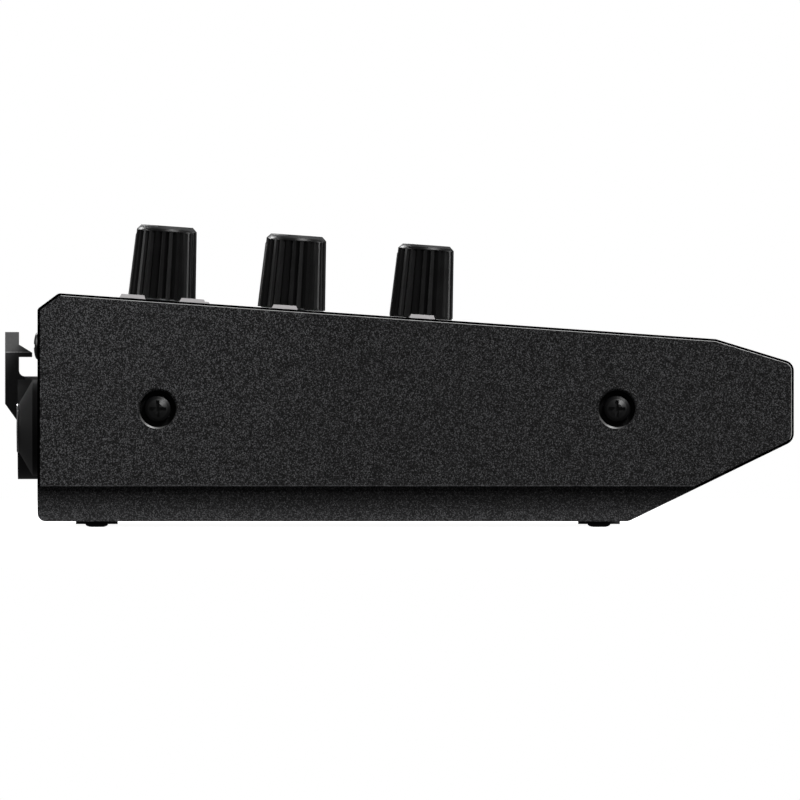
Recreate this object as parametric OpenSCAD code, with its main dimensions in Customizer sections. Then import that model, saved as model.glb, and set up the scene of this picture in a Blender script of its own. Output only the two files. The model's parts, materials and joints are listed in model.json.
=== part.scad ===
// Compact two-channel rotary DJ mixer, in millimetres.
// +X points to the operator's right, +Y to the rear and +Z up.
// The origin is on the table, in the middle of the mixer's width and of its overall depth.

/* [Body] */
// Width over both cheeks
body_w = 260; // [252:1:320]
// Depth of the cheeks from the front face to the rear face
body_d = 168; // [166:1:190]
// Height of the cheeks above their underside, at the rear
body_h = 50.7; // [50:0.1:60]
// Slope of the control panel, in degrees
panel_tilt = 4; // [3:0.5:5]
// Depth of the steeper nose in front of the panel
nose_d = 17.3; // [14:0.1:18]
// Slope of the nose, in degrees
nose_tilt = 17; // [12:1:20]
// Height of the upright front face
front_h = 17.3; // [14:0.1:20]
// Slope of the chin under the front face, in degrees
chin_tilt = 26; // [24:1:32]
// Depth of the rear bevel along the panel
bevel_y = 4.7; // [3:0.1:6]
// Height of the rear bevel
bevel_z = 3.5; // [2:0.1:5]

/* [Cheeks] */
// Thickness of a moulded cheek
cheek_w = 7; // [6.5:0.5:10]
// Wall thickness of the moulding
cheek_wall = 2.2; // [1.6:0.1:3]
// Thickness of the stiffening ribs inside a cheek
rib_t = 1.6; // [1:0.1:2.5]
// Number of bays between the stiffening ribs
rib_bays = 6; // [3:1:9]
// Rounding of the outer edge
edge_round = 0.6; // [0.3:0.1:1]
// How far the cheeks stand proud of the sheet metal
lip = 1; // [0.8:0.1:1.5]
// Depth of the cove along the bottom of a cheek
cove_depth = 3; // [1:0.1:3.5]
// Height of the cove
cove_h = 7.8; // [5:0.1:10]

/* [Sheet metal] */
// Thickness of the top plate, the tray and the rear panel
sheet_t = 1.2; // [1:0.1:1.5]
// Inside radius of the bends
bend_r = 1; // [0.6:0.1:1.5]
// Height of the folded tab and flanges that take the rear screws
tab_h = 12; // [11:0.5:13]
// Height of the tray's side flanges above its floor
flange_h = 30; // [27:0.5:32]

/* [Controls] */
// Plain strip of panel between a cheek and the outermost column
panel_margin = 8.6; // [7:0.1:12]
// Distance from the rear corner of the panel to the first row
first_row = 22.15; // [21:0.05:24]
// Distance between the three rows
row_pitch = 29.3; // [27.5:0.1:29.5]
// Diameter of a channel knob at its base
knob_d = 14.1; // [12:0.1:16]
// Diameter of the two main knobs at their base
main_knob_d = 15.2; // [13:0.1:18]
// Height of a channel knob
knob_h = 16.1; // [14:0.1:20]
// Height of a main knob
main_knob_h = 16.6; // [14:0.1:20]
// Draft of the knob sides, in degrees
knob_draft = 3.1; // [1:0.1:4]
// Number of flutes round a knob
flutes = 24; // [16:1:30]
// Width of a flute
flute_w = 1.1; // [0.6:0.1:1.2]
// Depth of a flute
flute_depth = 0.5; // [0.2:0.05:0.8]
// Bevel round the top of a knob
knob_bevel = 0.95; // [0.5:0.05:1.5]
// Plain band between the bevel and the flutes
knob_band = 0.2; // [0:0.05:1]
// Height of a knob's underside above the cheek rim
knob_gap = 0.5; // [0.5:0.1:2]
// Diameter of a control shaft
shaft_d = 6; // [5:0.1:6.2]
// Diameter of the bush that a control shaft turns in
bush_d = 6.8; // [6.6:0.1:7.5]
// Length of a button along the panel slope
button_l = 5.9; // [5:0.1:6.5]
// Width of a button across the panel
button_w = 9; // [7:0.5:12]
// Height of a button above the cheek rim
button_rise = 0.9; // [0.5:0.1:1.5]
// Travel of a button
button_travel = 0.8; // [0.5:0.1:1]
// Gap between neighbouring performance pads across the panel
pad_space = 3.6; // [3.2:0.1:6]
// Length of a performance pad along the panel slope
pad_l = 21; // [18:0.5:21.5]
// Travel of the crossfader
fader_travel = 45; // [30:1:60]
// Width of the crossfader cap
cap_w = 8; // [6:0.5:10]
// Length of the crossfader cap along the panel slope
cap_l = 12; // [10:0.5:13]
// Height of the crossfader cap
cap_h = 9; // [7:0.5:12]
// Free height between the top plate and the control board
board_gap = 7.2; // [7:0.1:9]
// Thickness of the circuit boards
board_t = 1.6; // [1:0.1:2]

/* [Rear side] */
// Height of the row of connectors above the table
socket_z = 22.06; // [21.5:0.1:23]
// Diameter of the cord hook's round base
hook_base_d = 23; // [20:0.5:23]
// How far the base stands behind the cheeks
hook_base = 4.9; // [4.6:0.1:6]
// How far the hook reaches behind the cheeks
hook_reach = 7.75; // [7.5:0.05:9]
// Width of the hook arm
hook_w = 8; // [6:0.5:12]
// Height of the gap between the base and the barb, where a cord is held
hook_gap = 4.3; // [4.2:0.1:6]
// Diameter of the power button's guard ring
guard_d = 21.4; // [18:0.1:22]
// Diameter of the power button
power_d = 9.2; // [8:0.1:10]
// Travel of the power button
power_travel = 2; // [1:0.1:2]
// Diameter of a phono socket's shell
phono_d = 8.3; // [8:0.1:8.6]
// Bore of a large jack socket
jack_bore = 6.5; // [6.4:0.05:6.6]
// Bore of the front headphone socket
mini_bore = 3.6; // [3.5:0.05:3.7]

/* [Fasteners and feet] */
// Thread diameter of the screws
screw_d = 3; // [2.5:0.1:3.5]
// Head diameter of the screws
head_d = 6.1; // [5.5:0.1:6.5]
// Diameter of the recess for a cheek screw
recess_d = 8.1; // [7.5:0.1:9]
// Depth of the recess for a cheek screw
recess_depth = 3.6; // [3:0.1:4]
// Diameter of a foot's flange
foot_d = 9.35; // [8:0.1:12]
// Diameter of a foot's tread
tread_d = 5.1; // [4:0.1:7]
// Height of the cheeks above the table
foot_h = 1.3; // [1.2:0.05:3]
// Thickness of the tread below the flange
tread_h = 0.65; // [0.3:0.05:0.8]
// Diameter of the flat in the middle of the domed tread
tip_d = 2.2; // [1.6:0.1:4]

/* [Hidden] */
$fn = 48;
hair = 0.01;           // overrun of a cut past a face
run_fit = 0.05;        // radial clearance of a shaft or pin in its bore
free_gap = 0.3;        // least clearance between pieces that move past each other
past = 1;              // overrun of a cut through a whole wall
screw_slack = 0.4;     // width added to a plain hole that a screw passes through
y_front = -(body_d + hook_reach) / 2;
y_rear = y_front + body_d;
z_rim = foot_h + body_h;

// Corners of the side outline, from the rear foot corner over the top to the chin.
rim_rear = [y_rear - bevel_y, z_rim];
rim_front = [y_front + nose_d, z_rim - (body_d - bevel_y - nose_d) * tan(panel_tilt)];
brow = [y_front, rim_front[1] - nose_d * tan(nose_tilt)];
lower_lip = [y_front, brow[1] - front_h];
chin = [y_front + (lower_lip[1] - foot_h) / tan(chin_tilt), foot_h];
outline = [
    [y_rear, foot_h], [y_rear, z_rim - bevel_z], rim_rear, rim_front, brow, lower_lip, chin
];
outline_round = [1.8, 0.9, 1.5, 3, 2.3, 2.5, 3.5];
sheet_round = bend_r + sheet_t;
least_round = 0.2;                // smallest corner radius left by an inset
edge_mid = 0.29 * edge_round;     // inset and depth halfway round the edge

x_in = body_w / 2 - cheek_w;      // inner faces of the cheeks
y_panel = y_rear - lip;           // outer face of the rear panel
y_in = y_panel - 2 * sheet_t;     // inner face of the flanges behind the rear panel
floor_z = foot_h + lip + sheet_t; // upper face of the tray's floor
plate_n = -lip - sheet_t;         // underside of the top plate, measured from the rim
board_n = plate_n - board_gap;    // upper face of the control board, measured from the rim
standoff_h = 3;                   // gap between the tray and the main board
deck_z = floor_z + standoff_h + board_t;
arc_steps = 6;
dome_steps = 4;

function unit(v) = v / norm(v);
function edge_line(p, q, d) = let (t = unit(q - p)) [p + d * [-t[1], t[0]], t];
function meet(a, b) = let (w = b[0] - a[0])
    a[0] + a[1] * (w[0] * b[1][1] - w[1] * b[1][0]) / (a[1][0] * b[1][1] - a[1][1] * b[1][0]);
// Moves each edge of a counter-clockwise outline inwards by its own distance.
function inset(pts, d) = let (n = len(pts)) [
    for (i = [0 : n - 1])
        let (h = (i + n - 1) % n, j = (i + 1) % n)
            meet(edge_line(pts[h], pts[i], d[h]), edge_line(pts[i], pts[j], d[i]))
];
function same(d) = [for (p = outline) d];
// Points of the arc of radius r that rounds corner p between its neighbours a and b.
function corner(a, p, b, r) =
    let (
        u = unit(a - p),
        v = unit(b - p),
        half = acos(u * v) / 2,
        c = p + unit(u + v) * r / sin(half),
        from = p + u * r / tan(half) - c,
        turn = (u[0] * v[1] - u[1] * v[0] > 0 ? -1 : 1) * (180 - 2 * half),
        start = atan2(from[1], from[0])
    )
    [for (k = [0 : arc_steps]) let (a = start + turn * k / arc_steps) c + r * [cos(a), sin(a)]];
function rounded(pts, r) = let (n = len(pts)) [
    for (i = [0 : n - 1]) each corner(pts[(i + n - 1) % n], pts[i], pts[(i + 1) % n], r[i])
];
// An open line with every inner corner rounded.
function bent(pts, r) = [
    pts[0],
    for (i = [1 : len(pts) - 2]) each corner(pts[i - 1], pts[i], pts[i + 1], r),
    pts[len(pts) - 1]
];
function reversed(pts) = [for (i = [len(pts) - 1 : -1 : 0]) pts[i]];
// Closed section of a folded sheet between its outer and inner line.
function sheet_section(outer, inner) = concat(bent(outer, sheet_round), reversed(bent(inner, bend_r)));

// Layout of the controls: each knob has a name, a column and a row, and says if it is a main knob.
knobs = [
    ["left_high", -2.5, 0, false], ["left_mid", -2.5, 1, false], ["left_low", -2.5, 2, false],
    ["left_level", -1.5, 0, false], ["left_filter", -1.5, 1, false],
    ["master", 0, 0, true], ["phones", 0, 1, true],
    ["right_level", 1.5, 0, false], ["right_filter", 1.5, 1, false],
    ["right_high", 2.5, 0, false], ["right_mid", 2.5, 1, false], ["right_low", 2.5, 2, false]
];
// Each button has a name, a column, a row and its offset from that row.
buttons = [
    ["left_cue", -3.5, 0, -5.9], ["left_effect", -3.5, 0, 7.5],
    ["left_source", -3.5, 1, -1.2], ["left_shift", -3.5, 2, 0.2],
    ["right_cue", 3.5, 0, -5.9], ["right_effect", 3.5, 0, 7.5],
    ["right_source", 3.5, 1, -1.2], ["right_shift", 3.5, 2, 0.2]
];
columns = 8;
column_pitch = 2 * (x_in - panel_margin) / columns;
function column_x(c) = c * column_pitch;
function row_u(r) = first_row + r * row_pitch;
function button_u(b) = row_u(b[2]) + b[3];
outer_columns = [0.5 : columns / 2 - 0.5];
pad_w = column_pitch - pad_space;
pad_gap = 2;           // gap between the two rows of pads
pad_clear = 13.3;      // from the last row of controls to the pads
first_pad_row = row_u(2) + pad_clear + pad_l / 2;
function pad_u(r) = first_pad_row + r * (pad_l + pad_gap);
board_edge = 5;        // free strip round the control board
board_u = [board_edge + 1, pad_u(1) + pad_l / 2 + 2];
board_w = 2 * (x_in - board_edge);
mat_t = 1.5;
mat_margin = 0.8;
pad_sink = 0.15;       // how far the pads lie below the rim

meter_x = column_x(0.75);
meter_w = 5.6;
meter_past = 8;        // reach of a meter past the rows of knobs beside it
meter_u = [row_u(0) - meter_past, row_u(1) + meter_past];
meter_flange = 1;
meter_rise = 0.2;      // how far a window stands above the plate

pot_w = 11;
pot_base = 1;          // wall under a shaft's end
bush_top = knob_gap - free_gap - run_fit;
shaft_in_knob = 10;
shaft_round = 2;       // length of full shaft below its flat
shaft_flat = 0.25;     // depth of the flat, as a share of the shaft's diameter
bush_slot_d = bush_d + 1.6;
bush_slot_h = 1.2;

switch_w = 6;
button_bevel = 0.45;
button_flange = 0.8;   // thickness and width of the rim that retains a button
button_flange_n = plate_n - free_gap;
switch_top = button_flange_n - button_flange - button_travel - free_gap;
button_stem_d = 2.4;
button_stem_l = 2.4;

lever_w = 4;
lever_t = 1.2;
carriage_w = 10;
carriage_l = 8.4;
rail_d = 2;
rail_offset = 2.8;
rail_n = plate_n - board_gap / 2;
fader_wall = 0.8;
fader_inner = fader_travel + carriage_w + 2 * free_gap;
slot_w = fader_travel + lever_w + 2 * free_gap;
slot_l = lever_t + 2 * free_gap;
cap_foot = 6;          // depth of the lever's socket in the cap
cap_skirt = 1.5;       // upright height at the cap's foot
cap_waist = 1.2;       // how far the cap's sides are drawn in
cap_lean = 0.3;
cap_bevel = 0.6;
cap_groove = 0.5;
cap_groove_w = 0.8;

// Pieces along the rear side, from left to right, with equal gaps between them.
phono_w = 10;
jack_w = 13;
usb_w = 12;
dc_w = 9.6;
lock_w = 3;
rear_w = [
    guard_d, hook_base_d, dc_w, usb_w, phono_w, phono_w, phono_w, phono_w, jack_w, jack_w, jack_w, lock_w
];
function total(v, n) = n == 0 ? 0 : v[n - 1] + total(v, n - 1);
rear_gap = (2 * x_in - total(rear_w, len(rear_w))) / (len(rear_w) + 1);
function rear_x(k) = -x_in + (k + 1) * rear_gap + total(rear_w, k) + rear_w[k] / 2;
function beside_x(k) = rear_x(k) + (rear_w[k] + rear_gap) / 2;
guard_x = rear_x(0);
hook_x = rear_x(1);
dc_x = rear_x(2);
usb_x = rear_x(3);
phono_x = [for (k = [4 : 7]) rear_x(k)];
jack_x = [for (k = [8 : 10]) rear_x(k)];
lock_x = rear_x(11);

phono_pitch = 14;
phono_reach = 5.8;     // length of shell that a plug grips
phono_root_d = phono_d + 0.8;
phono_l = 12;          // depth of a phono housing
phono_cover = 5.5;     // housing above and below a shell's axis
phono_hole_d = 3.4;
phono_hole_l = 4;      // depth of the pin's hole inside the housing
jack_body = 27;
jack_end = 1;          // wall at the end of a jack's bore
collar_d = 11;
collar_step = 1;       // how much thinner a collar is inside the panel's hole
collar_h = 2;
usb_h = 11;
usb_l = 17;
usb_mouth = [8.6, 8];
usb_tongue = [5.6, 3.2];
usb_setback = 1.5;     // how far the tongue's end lies inside the mouth
dc_h = 11;
dc_l = 14;
dc_bore = 6.4;
dc_pin_d = 2;
dc_depth = 11;
mini_collar = 8;
mini_body = 14;
mini_x = 23 - x_in;
mini_z = (brow[1] + lower_lip[1]) / 2 + 0.5;
lock_h = 7;
port_gap = 0.2;        // play of a socket in the panel's opening

hook_peg_d = 5;
hook_arm_t = 3.05;
hook_barb = 2.95;      // how far the barb reaches in from the arm
barb_tip = 1;          // thickness of the barb's tip
barb_ramp = 2.8;       // height of the barb's sloping back
hook_head = 5.6;       // height of the arm above the barb's underside
hook_lead = 0.9;       // taper of the arm's top to each side
hook_fillet = 1.3;
hook_foot = 1.35;      // height at which the arm leaves the base
hook_slope = 4;        // rise of the arm as it leaves the base

guard_base = 1.3;
guard_reach = 4.3;
guard_top_d = power_d + 2 * free_gap + 1.2;
power_reach = 4.85;
power_round = 0.9;
power_stem_d = 4;
power_cap_l = 4.9;
power_stem_l = power_travel + 5;
power_switch_w = 12;
power_switch_l = 16;

cove_foot = 1;         // upright height at the cove's lower edge
cheek_screw_y = [53.4, -48.6];
cheek_screw_z = 26.3;
recess_chamfer = 0.5;
top_screw_x = [-2, -1, 0, 1, 2] * (x_in - 11) / 2;
top_screw_z = z_rim - bevel_z - 8.2;
low_screw_x = [beside_x(1), beside_x(3), beside_x(7), lock_x];
low_screw_z = floor_z + 3.2;
low_flange_h = 7.5;
front_hem_h = 3.5;
flange_slope = 10;     // setback of the side flanges behind the chin
web_inset = 0.7;       // where a side flange joins the folded sheet, as a share of its thickness
low_head_h = lip - 0.1;
low_head_d = 5.4;
low_dome = 0.3;
pan_head_h = 2;
pan_dome = 0.8;
cheek_dome = 1.2;
insert_d = 5.4;
insert_h = 3;
cross_w = 0.75;
cross_l = 3.8;
cross_depth = 1.3;

foot_x = x_in - 13;
foot_y = [67.1, -44.7];
foot_stem_d = 4.2;
foot_barb_h = 1.5;
foot_barb = 0.4;       // how far the barb stands out from the stem
spacer_d = 5;
spacer_u = [(row_u(0) + row_u(1)) / 2, row_u(2) + 9.8];
spacer_column = [-4, -2, 2, 4];
standoff_x = x_in - 25;
standoff_y = [58, -24];
main_board_y = [-32, y_in - 5];
// Chips on the main board: place as a share of its width and depth, then width, depth and height.
chips = [
    [-0.25, 0, 18, 18, 2], [-0.08, 0.1, 14, 14, 1.6], [0.08, -0.1, 12, 20, 1.6], [0.25, 0.15, 10, 10, 4]
];
// Capacitors on the main board: place as shares, then diameter and height.
capacitors = [
    [0.34, -0.3, 6, 8], [0.38, -0.3, 6, 8], [0.42, -0.3, 6, 8], [0.34, -0.38, 6, 8], [0.38, -0.38, 6, 8]
];

fixed_nodes = [
    "left_cheek", "right_cheek", "top_plate", "bottom_tray", "rear_panel", "control_board",
    "main_board", "board_spacers", "pad_mats", "potentiometers", "button_switches",
    "fader_housing", "fader_rails", "meter_windows", "meter_bars", "phono_sockets",
    "jack_sockets", "usb_socket", "dc_socket", "cord_hook", "power_guard", "power_switch",
    "feet", "cheek_screws", "panel_screws"
];

// Extrudes a drawing of depth and height over the width w, from x.
module across(x, w) {
    translate([x, 0, 0]) rotate([90, 0, 90]) linear_extrude(height = w) children();
}

// Places a child on the sloping panel: x across, u down the slope from its rear corner, n above the rim.
module on_panel(x, u, n) {
    translate([x, rim_rear[0], rim_rear[1]])
        rotate([panel_tilt, 0, 0])
            translate([0, -u, n])
                children();
}

// Places a child on a face that looks to the rear, with the child's Z pointing out.
module facing_rear(x, y, z) {
    translate([x, y, z]) rotate([-90, 0, 0]) children();
}

module block(w, l, h) {
    translate([-w / 2, -l / 2, 0]) cube([w, l, h]);
}

// A cross-recessed screw with a domed head, seated at z = 0 with its shank below.
module screw(head, head_h, dome, length) {
    difference() {
        rotate_extrude()
            polygon(concat(
                [[0, -length], [screw_d / 2, -length], [screw_d / 2, 0], [head / 2, 0]],
                [for (k = [0 : dome_steps])
                    [head / 2 * cos(90 * k / dome_steps), head_h - dome + dome * sin(90 * k / dome_steps)]]
            ));
        for (a = [0, 90])
            rotate([0, 0, a])
                translate([-cross_l / 2, -cross_w / 2, head_h - cross_depth])
                    cube([cross_l, cross_w, cross_depth + hair]);
    }
}

// One slice of the cheek's outline, used to round its outer edge.
module cheek_slice(d, x, w) {
    across(x, w) polygon(rounded(inset(outline, same(d)), [for (r = outline_round) max(r - d, least_round)]));
}

// The cheek with its outer face at x = 0 and its hollow side towards +X.
module cheek_blank() {
    hull() {
        cheek_slice(edge_round, 0, edge_round);
        cheek_slice(edge_mid, edge_mid, edge_round);
        cheek_slice(0, edge_round, cheek_w - edge_round);
    }
}

module cove() {
    depth = min(cove_depth, cheek_w - cheek_wall);
    split = foot_h + cove_h;
    translate([0, y_front - past, 0])
        rotate([90, 0, 180])
            linear_extrude(height = body_d + 2 * past)
                polygon(concat(
                    [[past, split]],
                    [for (a = [0 : 90 / arc_steps : 90])
                        [-depth * sin(a), split - (cove_h - cove_foot) * (1 - cos(a))]],
                    [[-depth, foot_h - past], [past, foot_h - past]]
                ));
}

module cheek_hollow() {
    inner = inset(outline, same(cheek_wall));
    hollow_z = foot_h + cove_h + cheek_wall;
    intersection() {
        across(cheek_wall, cheek_w) polygon(inner);
        translate([0, y_front, hollow_z]) cube([2 * cheek_w, body_d, body_h]);
    }
}

module cheek() {
    bay = body_d / rib_bays;
    difference() {
        cheek_blank();
        cove();
        difference() {
            cheek_hollow();
            for (k = [1 : rib_bays - 1])
                translate([0, y_front + k * bay - rib_t / 2, 0]) cube([cheek_w, rib_t, z_rim]);
            translate([0, y_front, cheek_screw_z - rib_t / 2]) cube([cheek_w, body_d, rib_t]);
            for (y = cheek_screw_y)
                translate([0, y, cheek_screw_z])
                    rotate([0, 90, 0]) cylinder(d = recess_d + 2 * cheek_wall, h = cheek_w);
        }
        for (y = cheek_screw_y)
            translate([-hair, y, cheek_screw_z])
                rotate([0, 90, 0]) {
                    cylinder(d = recess_d, h = recess_depth + hair);
                    cylinder(
                        d1 = recess_d + 2 * recess_chamfer, d2 = recess_d - hair, h = recess_chamfer + hair
                    );
                    cylinder(d = screw_d + screw_slack, h = cheek_w + past);
                }
    }
}

module left_cheek() {
    color("#2b2b2d") translate([-body_w / 2, 0, 0]) cheek();
}

module right_cheek() {
    color("#2b2b2d") mirror([1, 0, 0]) translate([-body_w / 2, 0, 0]) cheek();
}

module shaft_hole(x, u, d) {
    on_panel(x, u, plate_n - past) cylinder(d = d, h = sheet_t + 2 * past);
}

module plate_window(x, u, w, l) {
    on_panel(x, u, plate_n - past) block(w, l, sheet_t + 2 * past);
}

module top_plate() {
    outer_d = [lip + sheet_t, lip, lip, lip, lip, lip, lip];
    outer = inset(outline, outer_d);
    inner = inset(outline, [for (d = outer_d) d + sheet_t]);
    tab_z = outer[1][1] - tab_h;
    front_z = outer[5][1];
    section = sheet_section(
        [[outer[1][0], tab_z], outer[1], outer[2], outer[3], outer[4], [outer[4][0], front_z]],
        [[inner[1][0], tab_z], inner[1], inner[2], inner[3], inner[4], [inner[4][0], front_z]]
    );
    color("#252527")
        difference() {
            union() {
                across(-x_in, 2 * x_in) polygon(section);
                for (x = top_screw_x)
                    facing_rear(x, y_in - insert_h, top_screw_z) cylinder(d = insert_d, h = insert_h);
            }
            for (k = knobs) shaft_hole(column_x(k[1]), row_u(k[2]), bush_d + screw_slack);
            for (b = buttons)
                plate_window(column_x(b[1]), button_u(b), button_w + 2 * free_gap, button_l + 2 * free_gap);
            for (s = [-1, 1], c = outer_columns, r = [0, 1])
                plate_window(column_x(s * c), pad_u(r), pad_w + 2 * free_gap, pad_l + 2 * free_gap);
            for (s = [-1, 1])
                plate_window(s * meter_x, (meter_u[0] + meter_u[1]) / 2, meter_w, meter_u[1] - meter_u[0]);
            plate_window(0, row_u(2), slot_w, slot_l);
            for (x = top_screw_x)
                facing_rear(x, y_in - insert_h - past, top_screw_z)
                    cylinder(d = screw_d + 2 * run_fit, h = insert_h + sheet_t + 2 * past);
            translate([mini_x, y_front, mini_z])
                rotate([-90, 0, 0])
                    cylinder(d = mini_collar - 2 * collar_step + screw_slack, h = lip + sheet_t + past);
        }
}

// Openings that the rear panel and the flange behind it share.
module rear_cuts() {
    depth = 2 * (sheet_t + past);
    from_y = y_in - past;
    mid_y = from_y + depth / 2;
    for (x = phono_x, s = [-1, 1])
        facing_rear(x, from_y, socket_z + s * phono_pitch / 2)
            cylinder(d = phono_root_d + 2 * port_gap, h = depth);
    for (x = jack_x)
        facing_rear(x, from_y, socket_z) cylinder(d = collar_d - 2 * collar_step + 2 * port_gap, h = depth);
    facing_rear(guard_x, from_y, socket_z) cylinder(d = power_d + 2 * free_gap, h = depth);
    facing_rear(hook_x, from_y, socket_z) cylinder(d = hook_peg_d + 2 * run_fit, h = depth);
    for (port = [[usb_x, usb_w, usb_h], [dc_x, dc_w, dc_h]])
        translate([port[0], mid_y, deck_z - port_gap])
            block(port[1] + 2 * port_gap, depth, port[2] + 2 * port_gap);
    translate([lock_x, mid_y, socket_z - lock_h / 2]) block(lock_w, depth, lock_h);
}

module low_screw_holes() {
    for (x = low_screw_x)
        facing_rear(x, y_in - insert_h - past, low_screw_z)
            cylinder(d = screw_d + 2 * run_fit, h = insert_h + 2 * (sheet_t + past));
}

module bottom_tray() {
    hem = lip + sheet_t;
    outer_d = [hem, hem, lip, lip, hem, lip, lip];
    outer = inset(outline, outer_d);
    inner = inset(outline, [for (d = outer_d) d + sheet_t]);
    rear_z = floor_z + low_flange_h;
    front_z = outer[5][1] + front_hem_h;
    section = sheet_section(
        [[outer[5][0], front_z], outer[5], outer[6], outer[0], [outer[0][0], rear_z]],
        [[inner[5][0], front_z], inner[5], inner[6], inner[0], [inner[0][0], rear_z]]
    );
    web = inset(outline, [for (d = outer_d) d + web_inset * sheet_t]);
    flange_z = floor_z + flange_h;
    color("#1d1d1f")
        difference() {
            union() {
                across(-x_in, 2 * x_in) polygon(section);
                for (x = [-x_in, x_in - sheet_t])
                    across(x, sheet_t)
                        polygon([
                            web[6], web[0], [web[0][0], flange_z], [chin[0] - flange_slope, flange_z],
                            [web[5][0], front_z - past], web[5]
                        ]);
                for (s = [-1, 1], y = cheek_screw_y)
                    translate([s * (x_in - sheet_t), y, cheek_screw_z])
                        rotate([0, -90 * s, 0]) cylinder(d = insert_d, h = insert_h);
                for (x = low_screw_x)
                    facing_rear(x, y_in - insert_h, low_screw_z) cylinder(d = insert_d, h = insert_h);
            }
            rear_cuts();
            low_screw_holes();
            for (s = [-1, 1], y = cheek_screw_y)
                translate([s * (x_in + past), y, cheek_screw_z])
                    rotate([0, -90 * s, 0])
                        cylinder(d = screw_d + 2 * run_fit, h = insert_h + sheet_t + 2 * past);
            for (s = [-1, 1], y = foot_y)
                translate([s * foot_x, y, 0]) cylinder(d = foot_stem_d + 2 * run_fit, h = floor_z + past);
        }
}

module rear_panel() {
    low = foot_h + lip;
    high = inset(outline, same(lip))[1][1];
    color("#1f1f21")
        difference() {
            translate([-x_in, y_panel - sheet_t, low]) cube([2 * x_in, sheet_t, high - low]);
            rear_cuts();
            low_screw_holes();
            for (x = top_screw_x)
                facing_rear(x, y_in, top_screw_z) cylinder(d = screw_d + screw_slack, h = 2 * sheet_t + past);
        }
}

module control_board() {
    color("#0f5a3c")
        on_panel(0, (board_u[0] + board_u[1]) / 2, board_n - board_t)
            block(board_w, board_u[1] - board_u[0], board_t);
}

// The main board with the parts soldered to it.
module main_board() {
    mid_y = (main_board_y[0] + main_board_y[1]) / 2;
    depth = main_board_y[1] - main_board_y[0];
    color("#0f5a3c")
        union() {
            translate([0, mid_y, deck_z - board_t]) block(board_w, depth, board_t);
            for (chip = chips)
                translate([chip[0] * board_w, mid_y + chip[1] * depth, deck_z])
                    block(chip[2], chip[3], chip[4]);
            for (part = capacitors)
                translate([part[0] * board_w, mid_y + part[1] * depth, deck_z])
                    cylinder(d = part[2], h = part[3]);
        }
}

module board_spacers() {
    color("#b8bcc0") {
        for (c = spacer_column, u = spacer_u)
            on_panel(column_x(c), u, board_n) cylinder(d = spacer_d, h = board_gap);
        for (s = [-1, 1], y = standoff_y)
            translate([s * standoff_x, y, floor_z]) cylinder(d = spacer_d, h = standoff_h);
    }
}

// Two silicone mats of eight pads each, lying on the control board.
module pad_mats() {
    mat_w = (columns / 2 - 1) * column_pitch + pad_w + 2 * mat_margin;
    mat_l = 2 * pad_l + pad_gap + 2 * mat_margin;
    for (s = [-1, 1])
        color("#3a3a3d")
            union() {
                on_panel(column_x(s * columns / 4), (pad_u(0) + pad_u(1)) / 2, board_n)
                    block(mat_w, mat_l, mat_t);
                for (c = outer_columns, r = [0, 1])
                    on_panel(column_x(s * c), pad_u(r), board_n) block(pad_w, pad_l, -board_n - pad_sink);
            }
}

module potentiometers() {
    body_n = plate_n - free_gap;
    for (k = knobs)
        color("#8d8f92")
            on_panel(column_x(k[1]), row_u(k[2]), 0)
                difference() {
                    union() {
                        translate([0, 0, board_n]) block(pot_w, pot_w, body_n - board_n);
                        translate([0, 0, body_n - hair]) cylinder(d = bush_d, h = bush_top - body_n + hair);
                    }
                    translate([0, 0, board_n + pot_base])
                        cylinder(d = shaft_d + 2 * run_fit, h = bush_top - board_n);
                }
}

module shaft(k) {
    low = board_n + pot_base + free_gap;
    high = knob_gap + shaft_in_knob;
    color("#c9ccd0")
        on_panel(column_x(k[1]), row_u(k[2]), 0)
            difference() {
                translate([0, 0, low]) cylinder(d = shaft_d, h = high - low);
                translate([-shaft_d / 2, -shaft_d * (1.5 - shaft_flat), knob_gap + shaft_round])
                    cube([shaft_d, shaft_d, shaft_in_knob]);
            }
}

// A drafted, fluted knob with a plain bevelled crown and a counterbore for the bush.
module knob(k) {
    d = k[3] ? main_knob_d : knob_d;
    h = k[3] ? main_knob_h : knob_h;
    crown = knob_bevel + knob_band;
    neck_r = d / 2 - (h - knob_bevel) * tan(knob_draft);
    flute_l = (h - crown) / cos(knob_draft);
    color("#18181a")
        on_panel(column_x(k[1]), row_u(k[2]), knob_gap)
            difference() {
                rotate_extrude()
                    polygon([
                        [0, 0], [d / 2, 0], [neck_r, h - knob_bevel], [neck_r - knob_bevel, h], [0, h]
                    ]);
                translate([0, 0, -past])
                    cylinder(d = shaft_d + 2 * run_fit, h = shaft_in_knob + past + free_gap);
                translate([0, 0, -past]) cylinder(d = bush_slot_d, h = bush_slot_h + past);
                for (f = [0 : flutes - 1])
                    rotate([0, 0, 360 * (f + 0.5) / flutes])
                        translate([d / 2, 0, 0])
                            rotate([0, -knob_draft, 0])
                                translate([0, 0, -past])
                                    linear_extrude(height = flute_l + past)
                                        polygon([
                                            [-flute_depth, 0],
                                            [flute_depth, flute_w],
                                            [flute_depth, -flute_w]
                                        ]);
            }
}

// A translucent button with bevelled sides, a retaining flange and a stem.
module button(b) {
    rise = button_rise - button_flange_n;
    color("#aba7a8")
        on_panel(column_x(b[1]), button_u(b), button_flange_n)
            union() {
                intersection() {
                    translate([0, button_l / 2, 0])
                        rotate([90, 0, 0])
                            linear_extrude(height = button_l) bevelled_face(button_w, rise, button_bevel);
                    translate([-button_w / 2, 0, 0])
                        rotate([90, 0, 90])
                            linear_extrude(height = button_w) bevelled_face(button_l, rise, button_bevel);
                }
                translate([0, 0, -button_flange])
                    block(button_w + 2 * button_flange, button_l + 2 * button_flange, button_flange);
                translate([0, 0, -button_flange - button_stem_l])
                    cylinder(d = button_stem_d, h = button_stem_l + hair);
            }
}

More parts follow.
